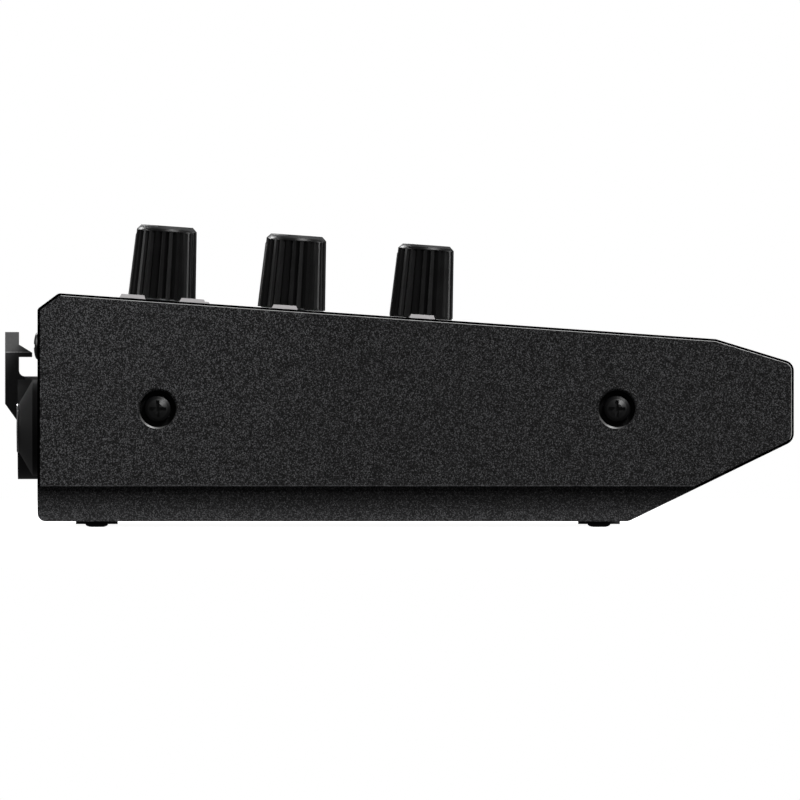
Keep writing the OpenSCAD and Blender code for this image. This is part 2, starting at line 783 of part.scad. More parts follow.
// Side view of a block of width w and height h whose top edges are bevelled.
module bevelled_face(w, h, bevel) {
    polygon([
        [-w / 2, 0], [w / 2, 0], [w / 2, h - 2 * bevel], [w / 2 - bevel, h],
        [-w / 2 + bevel, h], [-w / 2, h - 2 * bevel]
    ]);
}

module button_switches() {
    for (b = buttons)
        color("#2f3033")
            on_panel(column_x(b[1]), button_u(b), board_n)
                difference() {
                    block(switch_w, switch_w, switch_top - board_n);
                    translate([0, 0, pot_base])
                        cylinder(d = button_stem_d + 2 * run_fit, h = switch_top - board_n);
                }
}

module fader_housing() {
    length = fader_inner + 2 * fader_wall;
    width = carriage_l + 2 * (free_gap + fader_wall);
    color("#8d8f92")
        on_panel(0, row_u(2), board_n)
            difference() {
                block(length, width, board_gap);
                translate([0, 0, fader_wall])
                    block(fader_inner, width - 2 * fader_wall, board_gap - 2 * fader_wall);
                translate([0, 0, fader_wall]) block(slot_w, slot_l, board_gap);
                for (s = [-1, 1])
                    translate([-length / 2 - past, s * rail_offset, rail_n - board_n])
                        rotate([0, 90, 0]) cylinder(d = rail_d + 2 * run_fit, h = length + 2 * past);
            }
}

module fader_rails() {
    length = fader_inner + 2 * fader_wall;
    for (s = [-1, 1])
        color("#c9ccd0")
            on_panel(-length / 2, row_u(2) + s * rail_offset, rail_n)
                rotate([0, 90, 0]) cylinder(d = rail_d, h = length);
}

module fader_carriage() {
    height = board_gap - 2 * (fader_wall + free_gap);
    top = knob_gap + cap_foot;
    color("#e6e6e2")
        on_panel(0, row_u(2), rail_n)
            difference() {
                union() {
                    translate([0, 0, -height / 2]) block(carriage_w, carriage_l, height);
                    block(lever_w, lever_t, top - rail_n);
                }
                for (s = [-1, 1])
                    translate([-carriage_w, s * rail_offset, 0])
                        rotate([0, 90, 0]) cylinder(d = rail_d + 2 * run_fit, h = 2 * carriage_w);
            }
}

// The crossfader cap: a waisted grip with a groove across its top.
module fader_cap() {
    half = [
        [cap_w / 2, 0], [cap_w / 2, cap_skirt], [cap_w / 2 - cap_waist, cap_h / 2],
        [cap_w / 2 - cap_lean, cap_h - cap_bevel], [cap_w / 2 - cap_lean - cap_bevel, cap_h]
    ];
    color("#18181a")
        on_panel(0, row_u(2), knob_gap)
            difference() {
                translate([0, cap_l / 2, 0])
                    rotate([90, 0, 0])
                        linear_extrude(height = cap_l)
                            polygon(concat(half, reversed([for (p = half) [-p[0], p[1]]])));
                translate([0, 0, cap_h - cap_groove]) block(cap_groove_w, cap_l + 2 * past, past);
                translate([0, 0, -past])
                    block(lever_w + 2 * run_fit, lever_t + 2 * run_fit, cap_foot + past + run_fit);
            }
}

module meter_windows() {
    mid = (meter_u[0] + meter_u[1]) / 2;
    length = meter_u[1] - meter_u[0];
    for (s = [-1, 1])
        color("#404246")
            union() {
                on_panel(s * meter_x, mid, plate_n - hair)
                    block(meter_w, length, sheet_t + meter_rise + hair);
                on_panel(s * meter_x, mid, plate_n - meter_flange)
                    block(meter_w + 2 * meter_flange, length + 2 * meter_flange, meter_flange);
            }
}

// The light bars of the level meters, standing on the control board.
module meter_bars() {
    mid = (meter_u[0] + meter_u[1]) / 2;
    length = meter_u[1] - meter_u[0] - 2 * meter_flange;
    for (s = [-1, 1])
        color("#d8d8d4")
            on_panel(s * meter_x, mid, board_n)
                block(meter_w - meter_flange, length, board_gap - meter_flange);
}

// Pairs of phono sockets, one above the other, each pair in its own housing.
module phono_sockets() {
    root_l = y_panel - y_in;
    for (x = phono_x)
        color("#c9a23a")
            difference() {
                union() {
                    translate([x, y_in - phono_l / 2, deck_z])
                        block(phono_w, phono_l, socket_z + phono_pitch / 2 + phono_cover - deck_z);
                    for (s = [-1, 1])
                        facing_rear(x, y_in, socket_z + s * phono_pitch / 2) {
                            translate([0, 0, -hair]) cylinder(d = phono_root_d, h = root_l + hair);
                            cylinder(d = phono_d, h = root_l + phono_reach);
                        }
                }
                for (s = [-1, 1])
                    facing_rear(x, y_in - phono_hole_l, socket_z + s * phono_pitch / 2)
                        cylinder(d = phono_hole_d, h = root_l + phono_reach + phono_hole_l + past);
            }
}

module jack_sockets() {
    color("#2a2b2e")
        for (x = jack_x)
            difference() {
                union() {
                    translate([x, y_in - jack_body / 2, deck_z])
                        block(jack_w, jack_body, socket_z + jack_w / 2 - deck_z);
                    facing_rear(x, y_in - hair, socket_z)
                        cylinder(d = collar_d - 2 * collar_step, h = 2 * (sheet_t + hair));
                    facing_rear(x, y_panel, socket_z) cylinder(d = collar_d, h = collar_h);
                }
                facing_rear(x, y_in - jack_body + jack_end, socket_z)
                    cylinder(d = jack_bore, h = jack_body + 2 * sheet_t + collar_h);
            }
    color("#2a2b2e")
        translate([mini_x, y_front + lip, mini_z])
            rotate([-90, 0, 0])
                difference() {
                    union() {
                        translate([0, 0, -low_head_h]) cylinder(d = mini_collar, h = low_head_h);
                        translate([0, 0, -hair])
                            cylinder(d = mini_collar - 2 * collar_step, h = sheet_t + 2 * hair);
                        translate([0, 0, sheet_t]) block(mini_collar, mini_collar, mini_body);
                    }
                    translate([0, 0, -lip]) cylinder(d = mini_bore, h = mini_body + sheet_t);
                }
}

// A square data socket with its contact tongue.
module usb_socket() {
    color("#b8bcc0")
        translate([usb_x, y_panel, deck_z])
            difference() {
                translate([0, -usb_l / 2, 0]) block(usb_w, usb_l, usb_h);
                difference() {
                    translate([0, 0, (usb_h - usb_mouth[1]) / 2])
                        block(usb_mouth[0], 2 * (usb_l - usb_setback), usb_mouth[1]);
                    translate([0, -usb_l / 2 - usb_setback, (usb_h - usb_tongue[1]) / 2])
                        block(usb_tongue[0], usb_l, usb_tongue[1]);
                }
            }
}

// The inlet for the power adaptor's plug, with its centre pin.
module dc_socket() {
    color("#1a1a1c")
        translate([dc_x, y_panel, deck_z])
            difference() {
                translate([0, -dc_l / 2, 0]) block(dc_w, dc_l, dc_h);
                translate([0, 0, dc_h / 2])
                    rotate([90, 0, 0])
                        difference() {
                            translate([0, 0, -past]) cylinder(d = dc_bore, h = dc_depth + past);
                            translate([0, 0, usb_setback]) cylinder(d = dc_pin_d, h = dc_l);
                        }
            }
}

// The cord hook: a round base with an arm and a barb that traps the adaptor's cord.
module cord_hook() {
    base_top = socket_z + hook_base_d / 2;
    barb_z = base_top + hook_gap;
    arm_in = y_rear + hook_reach - hook_arm_t;
    arm_out = y_rear + hook_reach;
    base_out = y_rear + hook_base;
    arm_top = barb_z + hook_head;
    color("#1b1b1c")
        union() {
            facing_rear(hook_x, y_panel, socket_z) cylinder(d = hook_base_d, h = base_out - y_panel);
            facing_rear(hook_x, y_in, socket_z) cylinder(d = hook_peg_d, h = 2 * sheet_t + hair);
            intersection() {
                across(hook_x - hook_w / 2, hook_w)
                    polygon([
                        [base_out - hook_fillet, socket_z], [base_out, socket_z],
                        [base_out, socket_z + hook_foot], [arm_out, socket_z + hook_foot + hook_slope],
                        [arm_out, arm_top], [arm_in, arm_top], [arm_in, barb_z + barb_ramp],
                        [arm_in - hook_barb, barb_z + barb_tip], [arm_in - hook_barb, barb_z],
                        [arm_in, barb_z], [arm_in, base_top + hook_fillet],
                        for (k = [1 : arc_steps - 1])
                            [arm_in - hook_fillet + hook_fillet * cos(90 * k / arc_steps),
                             base_top + hook_fillet - hook_fillet * sin(90 * k / arc_steps)],
                        [arm_in - hook_fillet, base_top], [arm_in - hook_fillet, socket_z]
                    ]);
                translate([hook_x, y_rear + 2 * hook_reach, 0])
                    rotate([90, 0, 0])
                        linear_extrude(height = 4 * hook_reach)
                            polygon([
                                [-hook_w / 2, 0], [hook_w / 2, 0], [hook_w / 2, barb_z + barb_tip],
                                [hook_w / 2 - hook_lead, arm_top], [-hook_w / 2 + hook_lead, arm_top],
                                [-hook_w / 2, barb_z + barb_tip]
                            ]);
            }
        }
}

module power_guard() {
    rise = y_rear - y_panel;
    color("#1b1b1c")
        facing_rear(guard_x, y_panel, socket_z)
            rotate_extrude()
                polygon([
                    [power_d / 2 + free_gap, 0], [guard_d / 2, 0], [guard_d / 2, rise + guard_base],
                    [guard_top_d / 2, rise + guard_reach], [power_d / 2 + free_gap, rise + guard_reach]
                ]);
}

module power_button() {
    r = power_d / 2;
    color("#0d0d0e")
        facing_rear(guard_x, y_rear + power_reach - power_cap_l, socket_z)
            union() {
                rotate_extrude()
                    polygon(concat(
                        [[0, 0], [r, 0], [r, power_cap_l - power_round]],
                        [for (k = [1 : arc_steps])
                            [r - power_round + power_round * cos(90 * k / arc_steps),
                             power_cap_l - power_round + power_round * sin(90 * k / arc_steps)]],
                        [[0, power_cap_l]]
                    ));
                translate([0, 0, -power_stem_l]) cylinder(d = power_stem_d, h = power_stem_l + hair);
            }
}

module power_switch() {
    bore_l = power_stem_l + power_travel;
    color("#2f3033")
        difference() {
            translate([guard_x, y_in - power_switch_l / 2, deck_z])
                block(power_switch_w, power_switch_l, socket_z + power_switch_w / 2 - deck_z);
            facing_rear(guard_x, y_in - bore_l, socket_z)
                cylinder(d = power_stem_d + 2 * run_fit, h = bore_l + past);
        }
}

module feet() {
    seat = foot_h + lip;
    for (s = [-1, 1], y = foot_y)
        color("#161617")
            translate([s * foot_x, y, 0])
                rotate_extrude()
                    polygon([
                        [0, 0],
                        for (k = [0 : dome_steps])
                            [(tip_d + (tread_d - tip_d) * sin(90 * k / dome_steps)) / 2,
                             tread_h * (1 - cos(90 * k / dome_steps))],
                        [foot_d / 2, tread_h], [foot_d / 2, seat], [foot_stem_d / 2, seat],
                        [foot_stem_d / 2, floor_z], [foot_stem_d / 2 + foot_barb, floor_z],
                        [foot_stem_d / 2 - 2 * foot_barb, floor_z + foot_barb_h],
                        [0, floor_z + foot_barb_h]
                    ]);
}

module cheek_screws() {
    length = cheek_w - recess_depth + sheet_t + insert_h;
    for (s = [-1, 1], y = cheek_screw_y)
        color("#111112")
            translate([s * (body_w / 2 - recess_depth), y, cheek_screw_z])
                rotate([0, 90 * s, 0]) screw(head_d, recess_depth - 1, cheek_dome, length);
}

module panel_screws() {
    length = 2 * sheet_t + insert_h;
    color("#111112") {
        for (x = top_screw_x)
            facing_rear(x, y_panel, top_screw_z) screw(head_d, pan_head_h, pan_dome, length);
        for (x = low_screw_x)
            facing_rear(x, y_panel, low_screw_z) screw(low_head_d, low_head_h, low_dome, length);
    }
}

left_cheek();
right_cheek();
top_plate();
bottom_tray();
rear_panel();
control_board();
main_board();
board_spacers();
pad_mats();
potentiometers();
button_switches();
fader_housing();
fader_rails();
meter_windows();
meter_bars();
phono_sockets();
jack_sockets();
usb_socket();
dc_socket();
cord_hook();
power_guard();
power_switch();
feet();
cheek_screws();
panel_screws();
power_button();
fader_cap();
fader_carriage();
for (k = knobs) {
    knob(k);
    shaft(k);
}
for (b = buttons) button(b);
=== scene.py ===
"""Dresses a compact DJ mixer: finishes, panel print, pads, meters, socket trim, lights and camera."""

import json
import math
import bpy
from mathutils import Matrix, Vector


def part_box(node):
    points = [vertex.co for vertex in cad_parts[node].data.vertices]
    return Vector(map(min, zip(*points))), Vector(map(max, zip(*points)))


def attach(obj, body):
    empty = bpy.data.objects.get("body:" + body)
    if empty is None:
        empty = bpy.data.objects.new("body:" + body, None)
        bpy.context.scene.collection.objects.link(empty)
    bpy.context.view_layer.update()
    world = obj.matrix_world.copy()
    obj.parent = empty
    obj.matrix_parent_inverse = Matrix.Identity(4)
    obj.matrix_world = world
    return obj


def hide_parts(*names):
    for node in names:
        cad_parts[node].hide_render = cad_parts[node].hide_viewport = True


bl_info = {
    "name": "DJ mixer dresser",
    "version": (1, 0, 0),
    "blender": (4, 5, 0),
    "location": "View3D > Sidebar > Mixer",
    "description": "Finishes and small parts for a compact two-channel rotary DJ mixer",
    "category": "Object",
}

import bpy
from bpy.props import FloatProperty, FloatVectorProperty, IntProperty, PointerProperty
from mathutils import Matrix, Vector

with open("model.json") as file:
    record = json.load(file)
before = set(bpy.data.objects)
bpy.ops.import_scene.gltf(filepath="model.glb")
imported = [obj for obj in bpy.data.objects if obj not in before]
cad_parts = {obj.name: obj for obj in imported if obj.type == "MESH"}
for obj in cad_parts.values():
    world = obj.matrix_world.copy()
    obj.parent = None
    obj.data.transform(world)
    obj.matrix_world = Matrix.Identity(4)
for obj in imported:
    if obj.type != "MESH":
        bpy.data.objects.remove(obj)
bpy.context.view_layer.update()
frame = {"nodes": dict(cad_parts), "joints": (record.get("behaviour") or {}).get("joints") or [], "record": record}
MM = 0.001

# Joints, mounts, knobs and milky buttons by name
JOINTS = {joint["name"]: joint for joint in frame["joints"]}
MOUNTS = {mount["name"]: Vector(mount["pos_m"]) for mount in frame["record"]["mounts"]}
KNOBS = [name.removesuffix("_turn") for name in JOINTS if name.endswith("_turn")]
BUTTONS = [name for name in frame["nodes"] if name.endswith("_button") and name != "power_button"]

# The sloping top: its axes, the feet of its first two rows of knobs, and the pitches of its controls
ROW_ONE = Vector(JOINTS["master_turn"]["pos_m"])
ROW_TWO = Vector(JOINTS["phones_turn"]["pos_m"])
ACROSS = Vector((1, 0, 0))
UP_SLOPE = (ROW_ONE - ROW_TWO).normalized()
NORMAL = Vector(JOINTS["master_turn"]["axis"]).normalized()
ROW_PITCH = (ROW_ONE - ROW_TWO).length
COLUMN_PITCH = JOINTS["right_level_turn"]["pos_m"][0] / 1.5
KNOB_BASE_OVER_PLATE = 1.5 * MM

# Knobs: slope of the sides, bevel round the crown, and height over the foot above which the crown is painted
# paler, as painted light
KNOB_DRAFT = math.radians(3.1)
KNOB_BEVEL = 0.95 * MM
KNOB_CROWN = 15.6 * MM

# Cheeks: outer face, rounding of the edges, centres and radius of the screw recesses, top of the cove
CHEEK_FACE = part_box("right_cheek")[1].x
CHEEK_ROUNDING = 0.62 * MM
CHEEK_SCREW_Y = (53.4 * MM, -48.6 * MM)
CHEEK_SCREW_Z = 26.3 * MM
RECESS_RADIUS = 4.05 * MM
COVE_TOP = 9.1 * MM

# Cord hook: its tip is painted paler, as painted light, behind this Y and above this Z
HOOK_FROM = 80.5 * MM
HOOK_TIP = 38.86 * MM

# Pads: size, pitch of the two rows, gap from the third row of knobs, and height over the plate
PAD = Vector((25, 21, 9.2)) * MM
PAD_ROW_PITCH = 23 * MM
PAD_GAP = 13.3 * MM
PAD_PROUD = 0.85 * MM
FIRST_PAD_ROW = 2 * ROW_PITCH + PAD_GAP + PAD.y / 2

# Screen print: thickness of the ink, width of a line and of a dial mark
INK_DEPTH = 0.04 * MM
LINE_WIDTH = 0.25 * MM
MARK_WIDTH = 0.3 * MM

# Height of the fader cap over the plate
FADER_TOP = 10.5 * MM

# Rear panel: its outer face and the places of the jack sockets, which nuts hold
REAR_FACE = MOUNTS["usb_port"].y
JACKS = [MOUNTS[name] for name in ("master_out_left", "master_out_right", "microphone_in")]

# Angle under which the faces of a rounded piece are shaded as one
SMOOTH = math.radians(35)


class Socket:
    """One output of a node, which takes part in Python sums and adds the Math nodes they need."""

    def __init__(self, nodes, output):
        self.nodes = nodes
        self.output = output

    def __add__(self, other):
        return self.nodes.math("ADD", self, other)

    def __radd__(self, other):
        return self.nodes.math("ADD", other, self)

    def __sub__(self, other):
        return self.nodes.math("SUBTRACT", self, other)

    def __rsub__(self, other):
        return self.nodes.math("SUBTRACT", other, self)

    def __mul__(self, other):
        return self.nodes.math("MULTIPLY", self, other)

    def __rmul__(self, other):
        return self.nodes.math("MULTIPLY", other, self)

    def __gt__(self, other):
        return self.nodes.math("GREATER_THAN", self, other)

    def __lt__(self, other):
        return self.nodes.math("LESS_THAN", self, other)


class Nodes:
    """A node tree, built up node by node."""

    def __init__(self, tree):
        self.tree = tree

    def find(self, kind):
        """The node of a kind that the tree starts with."""
        return next(node for node in self.tree.nodes if node.type == kind)

    def feed(self, target, value):
        """Sets a constant on an input, or links a changing value to it."""
        if isinstance(value, Socket):
            self.tree.links.new(value.output, target)
        else:
            target.default_value = value

    def node(self, kind, settings, inputs, output=0):
        """Adds a node: its settings come first, then the values or links of its sockets."""
        made = self.tree.nodes.new(kind)
        for key, value in settings.items():
            setattr(made, key, value)
        for key, value in inputs.items():
            self.feed(made.inputs[key], value)
        return Socket(self, made.outputs[output])

    def math(self, operation, *values):
        """One Math node on one or two values."""
        return self.node("ShaderNodeMath", {"operation": operation}, dict(enumerate(values)))

    def ramp(self, level, low, high, start=0.0, end=1.0):
        """Goes from `start` at `low` to `end` at `high`, and stays there."""
        inputs = {"Value": level, "From Min": low, "From Max": high, "To Min": start, "To Max": end}
        return self.node("ShaderNodeMapRange", {}, inputs)


class Finish(Nodes):
    """A material with one Principled surface."""

    def __init__(self, name, colour, roughness, metallic=0.0, specular=0.5):
        self.material = bpy.data.materials.new(name)
        self.material.use_nodes = True
        super().__init__(self.material.node_tree)
        self.surface = self.find("BSDF_PRINCIPLED")
        self.material.diffuse_color = (*colour[:3], 1.0)
        self.put("Base Color", (*colour[:3], 1.0))
        self.put("Roughness", roughness)
        self.put("Metallic", metallic)
        self.put("Specular IOR Level", specular)

    def put(self, socket, value):
        """Sets a constant on the surface, or links a changing value to it."""
        self.feed(self.surface.inputs[socket], value)

    def place(self):
        """A point of the piece, which is also its place on the mixer."""
        return self.node("ShaderNodeTexCoord", {}, {}, "Object")

    def axes(self):
        """The three coordinates of a point, in metres."""
        return [self.node("ShaderNodeSeparateXYZ", {}, {0: self.place()}, axis) for axis in "XYZ"]

    def apart(self, first, first_at, second, second_at):
        """Distance from a point, or line, given by two coordinates."""
        first, second = first - first_at, second - second_at
        return self.math("SQRT", first * first + second * second)

    def noise(self, size, detail=2.0, roughness=0.5):
        """A cloudy pattern whose lumps are about `size` metres wide."""
        inputs = {"Vector": self.place(), "Scale": 1 / size, "Detail": detail, "Roughness": roughness}
        return self.node("ShaderNodeTexNoise", {}, inputs, "Fac")

    def cells(self, size):
        """Grit: a level from 0 to 1 for each cell of a pattern of cells `size` metres wide."""
        inputs = {"Vector": self.place(), "Scale": 1 / size}
        level = self.node("ShaderNodeTexVoronoi", {}, inputs, "Color")
        return self.node("ShaderNodeSeparateColor", {}, {0: level})

    def blend(self, amount, first, second):
        """Mixes two colours; a Mix node takes its colours on inputs 6 and 7 and gives one on output 2."""
        first, second = (c if isinstance(c, Socket) else (*c[:3], 1.0) for c in (first, second))
        return self.node("ShaderNodeMix", {"data_type": "RGBA"}, {0: amount, 6: first, 7: second}, 2)

    def cover(self, mask, colour):
        """Lays a plain matt colour over the places where the mask is 1."""
        shine = Socket(self, self.surface.outputs[0])
        matt = self.node("ShaderNodeBsdfDiffuse", {}, {"Color": (*colour, 1.0)})
        mixed = self.node("ShaderNodeMixShader", {}, {0: mask, 1: shine, 2: matt})
        self.feed(self.find("OUTPUT_MATERIAL").inputs["Surface"], mixed)

    def bump(self, height, strength, distance):
        """Raises the surface by a level, `distance` metres at most."""
        inputs = {"Height": height, "Strength": strength, "Distance": distance}
        self.put("Normal", self.node("ShaderNodeBump", {}, inputs))


class MixerColours(bpy.types.PropertyGroup):
    """Colours of the mixer's finishes, as linear values."""

    cheek: FloatVectorProperty(
        name="Cheek", description="Moulded cheeks", size=3, subtype="COLOR", default=(0.013, 0.013, 0.0135)
    )
    plate: FloatVectorProperty(
        name="Plate", description="Coated sheet metal", size=3, subtype="COLOR", default=(0.010, 0.010, 0.011)
    )
    knob: FloatVectorProperty(
        name="Knob",
        description="Knobs and fader cap",
        size=3,
        subtype="COLOR",
        default=(0.0022, 0.0022, 0.0023),
    )
    lamp: FloatVectorProperty(
        name="Button", description="Milky buttons", size=3, subtype="COLOR", default=(0.386, 0.371, 0.376)
    )
    pad: FloatVectorProperty(
        name="Pad", description="Silicone pads", size=3, subtype="COLOR", default=(0.045, 0.045, 0.048)
    )
    ink: FloatVectorProperty(
        name="Ink", description="Printed marks", size=3, subtype="COLOR", default=(0.8, 0.8, 0.8)
    )


class MixerSizes(bpy.types.PropertyGroup):
    """Sizes of the small parts that are added to the mixer."""

    grain: FloatProperty(
        name="Grain", description="Width of a grain on the cheeks", unit="LENGTH", default=0.0002
    )
    pointer: FloatProperty(
        name="Pointer", description="Width of a knob's white line", unit="LENGTH", default=0.0009
    )
    pad_round: FloatProperty(
        name="Pad rounding", description="Rounding of a pad's edges", unit="LENGTH", default=0.0009
    )
    ticks: IntProperty(name="Ticks", description="Marks round a knob", default=11, min=3, max=31)
    lamps: IntProperty(name="Meter lamps", description="Segments of a level meter", default=12, min=4, max=24)


def colours():
    """Colours that the panel in the sidebar holds."""
    return bpy.context.scene.mixer_colours


def sizes():
    """Sizes that the panel in the sidebar holds."""
    return bpy.context.scene.mixer_sizes


# Finishes


def recess_places(finish, along, up, off_face):
    """Where a cheek's screw recesses and their chamfers are, and which sector of a chamfer gets a painted
    highlight.
    """
    rear_y, front_y = CHEEK_SCREW_Y
    rear, front = (finish.apart(along, y, up, CHEEK_SCREW_Z) for y in CHEEK_SCREW_Y)
    near = finish.math("MINIMUM", rear, front)
    surround, wall = 0.6 * MM, 0.02 * MM
    recess = near < RECESS_RADIUS + surround
    bore = near < RECESS_RADIUS + wall
    nearest = (along > (rear_y + front_y) / 2) * (rear_y - front_y) + front_y
    # Direction, rearward and downward from each screw, of the chamfer sector that gets a painted highlight
    rearward, downward = 0.42, 0.91
    reach = (along - nearest) * rearward - (up - CHEEK_SCREW_Z) * downward
    sector_edge, sector_middle = 2.2 * MM, 3.8 * MM
    highlight_sector = (1 - bore) * finish.ramp(reach, sector_edge, sector_middle)
    narrow, widened = 0.1 * MM, 0.3 * MM
    chamfer = off_face * (near < highlight_sector * widened + (RECESS_RADIUS + narrow))
    return recess, chamfer, highlight_sector


def grain_and_painted_light(finish, grit, along, up):
    """How pale a cheek's face is: its grain, weaker in the cove, with painted shade in the cove, painted light at
    the cove's foot and roof and on the rear top, and a painted highlight along the cove's top edge.
    """
    cove = up < COVE_TOP
    speck = grit * grit * grit * grit * (0.86 - cove * 0.22) + cove * 0.044 + 0.028
    # Painted light: paler towards the cove's foot and under its roof
    cove_foot_painted_light = finish.ramp(up, 6.6 * MM, 1.5 * MM) * 1.4
    cove_roof_painted_light = finish.ramp(up, 7.4 * MM, 8.8 * MM) * 1.8
    # Painted light: paler towards the rear top of the cheek
    painted_light_rear_top = finish.ramp(along, 10 * MM, 75 * MM) * finish.ramp(up, 20 * MM, 50 * MM, 0.45, 1.0)
    # Painted highlight: a pale line along the top edge of the cove
    cove_edge_highlight = (up > COVE_TOP) * (up < COVE_TOP + 0.2 * MM)
    # Painted shade: the cove is a quarter darker overall
    return speck * ((1 - cove * 0.25) + cove * (cove_foot_painted_light + cove_roof_painted_light) + painted_light_rear_top) + cove_edge_highlight * 0.25


def cheek_finish():
    """Black moulded plastic: sand-like grain on the faces with painted light and shade, smooth edges painted black
    as painted shade with a painted highlight along the arris in them, and screw recesses with painted shade and a
    painted highlight.
    """
    base = Vector(colours().cheek)
    finish = Finish("cheek_grain", base, 0.55, specular=0.15)
    grit = finish.cells(sizes().grain)
    across, along, up = finish.axes()
    out = finish.math("ABSOLUTE", across)
    play, arris_width = 0.005 * MM, 0.05 * MM
    off_face = out < CHEEK_FACE - play
    recess, chamfer, highlight_sector = recess_places(finish, along, up, off_face)
    edge = off_face * (out > CHEEK_FACE - CHEEK_ROUNDING) * (1 - recess)
    # The arris gets a painted highlight along the top and the front, but not at the foot and the rear
    foot_below, rear_behind = 19.5 * MM, 75 * MM
    arris_highlight = edge * (out > CHEEK_FACE - arris_width) * (up > foot_below) * (along < rear_behind)
    face = finish.blend(grain_and_painted_light(finish, grit, along, up), base * 0.03, base * 7.8)
    # Painted shade and painted highlight on the rounded edges: black, with a pale arris
    rim = finish.blend(arris_highlight, (0.0, 0.0, 0.0), (0.45, 0.45, 0.45))
    # Painted shade: the recess is near-black; painted highlight: one sector of each chamfer is pale
    recess_shade_and_highlight = finish.blend(highlight_sector, (0.003, 0.003, 0.003), (0.1, 0.1, 0.1))
    finish.put("Base Color", finish.blend(chamfer, finish.blend(edge, face, rim), recess_shade_and_highlight))
    finish.put("Roughness", (0.8 - grit * 0.3) * (1 - chamfer) + chamfer * 0.3)
    finish.put("Coat Weight", chamfer * highlight_sector)
    finish.put("Coat Roughness", 0.3)
    finish.put("Coat IOR", 2.2)
    # Painted shade: a matt near-black laid over the rounded edges, off the arris
    finish.cover(edge * (1 - arris_highlight), (0.0004, 0.0004, 0.0004))
    finish.bump(grit, 0.3, 0.06 * MM)
    return finish.material


def plate_finish():
    """Matt powder coat on sheet metal."""
    base = Vector(colours().plate)
    finish = Finish("powder_coat", base, 0.5, specular=0.3)
    grain = finish.noise(0.4 * MM, roughness=0.6)
    finish.put("Base Color", finish.blend(grain, base * 0.7, base * 1.35))
    finish.put("Roughness", 0.42 + grain * 0.16)
    finish.bump(grain, 0.25, 0.04 * MM)
    return finish.material


def knob_finish():
    """Satin black plastic, with painted light making each crown paler, and each crown duller."""
    base = Vector(colours().knob)
    finish = Finish("knob_satin", base, 0.3, specular=0.35)
    wear = finish.noise(4 * MM, 3.0)
    fine = finish.noise(0.3 * MM, 1.0)
    dot = {"operation": "DOT_PRODUCT"}
    outward = finish.node("ShaderNodeVectorMath", dot, {0: finish.place(), 1: NORMAL}, "Value")
    crown = outward - NORMAL.dot(ROW_ONE) > KNOB_CROWN
    body = finish.blend(wear, base * 0.8, base * 1.3)
    # Painted light: the crown is painted paler than the body
    finish.put("Base Color", finish.blend(crown, body, (0.019, 0.019, 0.02)))
    finish.put("Roughness", 0.26 + wear * 0.12 + crown * 0.25)
    finish.bump(fine, 0.12, 0.02 * MM)
    return finish.material


def plain_black(name, roughness, specular, grain_size, depth, shade=0.008):
    """Black moulded or coated finish with a light grain of some size and depth."""
    base = Vector((shade, shade, shade * 1.06))
    finish = Finish(name, base, roughness, specular=specular)
    grain = finish.noise(grain_size)
    finish.put("Base Color", finish.blend(grain, base * 0.75, base * 1.3))
    finish.put("Roughness", roughness - 0.05 + grain * 0.1)
    finish.bump(grain, 0.2, depth)
    return finish.material


def hook_finish():
    """Black moulded plastic: darker on the power guard, and painted paler on the cord hook's tip as painted light,
    with a painted highlight line along the tip's lower edge.
    """
    base = Vector((0.034, 0.034, 0.035))
    finish = Finish("satin_black", base, 0.42, specular=0.3)
    grain = finish.noise(0.5 * MM)
    across, along, up = finish.axes()
    # Painted light: the tip, behind HOOK_FROM and above HOOK_TIP, is painted paler
    painted_light_tip = (along > HOOK_FROM) * (up > HOOK_TIP)
    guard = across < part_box("power_guard")[1].x
    body = finish.blend(guard, finish.blend(grain, base * 0.75, base * 1.3), base * 0.45)
    tip = finish.blend(grain, (0.08, 0.08, 0.08), (0.11, 0.11, 0.11))
    # Painted highlight: a pale line along the tip's lower edge
    line = painted_light_tip * (up < HOOK_TIP + 0.2 * MM)
    finish.put("Base Color", finish.blend(line, finish.blend(painted_light_tip, body, tip), (0.3, 0.3, 0.3)))
    finish.put("Roughness", 0.37 + grain * 0.1)
    finish.bump(grain, 0.2, 0.03 * MM)
    return finish.material


def lamp_finish(name, base, glow):
    """Milky plastic that a lamp shines through."""
    base = Vector(base)
    finish = Finish(name, base, 0.35, specular=0.4)
    haze = finish.noise(1.2 * MM)
    finish.put("Base Color", finish.blend(haze, base * 0.93, base * 1.05))
    finish.put("Roughness", 0.3 + haze * 0.12)
    finish.put("Emission Color", (*base, 1.0))
    finish.put("Emission Strength", glow)
    return finish.material


def pad_finish():
    """Matt silicone with a soft bloom."""
    base = Vector(colours().pad)
    finish = Finish("pad_silicone", base, 0.6, specular=0.35)
    bloom = finish.noise(6 * MM, 3.0)
    fine = finish.noise(0.35 * MM, 1.0)
    finish.put("Base Color", finish.blend(bloom, base * 0.85, base * 1.15))
    finish.put("Roughness", 0.52 + bloom * 0.16)
    finish.bump(fine, 0.15, 0.03 * MM)
    return finish.material


def metal_finish(name, base, roughness):
    """Plated metal with fine turning marks."""
    base = Vector(base)
    finish = Finish(name, base, roughness, metallic=1.0)
    marks = finish.noise(0.6 * MM, 3.0)
    finish.put("Base Color", finish.blend(marks, base * 0.9, base * 1.05))
    finish.put("Roughness", roughness - 0.04 + marks * 0.1)
    return finish.material


def board_finish():
    """Green solder mask over copper tracks."""
    finish = Finish("solder_mask", (0.006, 0.1, 0.04), 0.3)
    level = finish.noise(3 * MM, 0.0)
    tracks = (level > 0.5) * 0.8
    finish.put("Base Color", finish.blend(tracks, (0.004, 0.08, 0.03), (0.012, 0.16, 0.07)))
    finish.bump(level, 0.2, 0.03 * MM)
    return finish.material


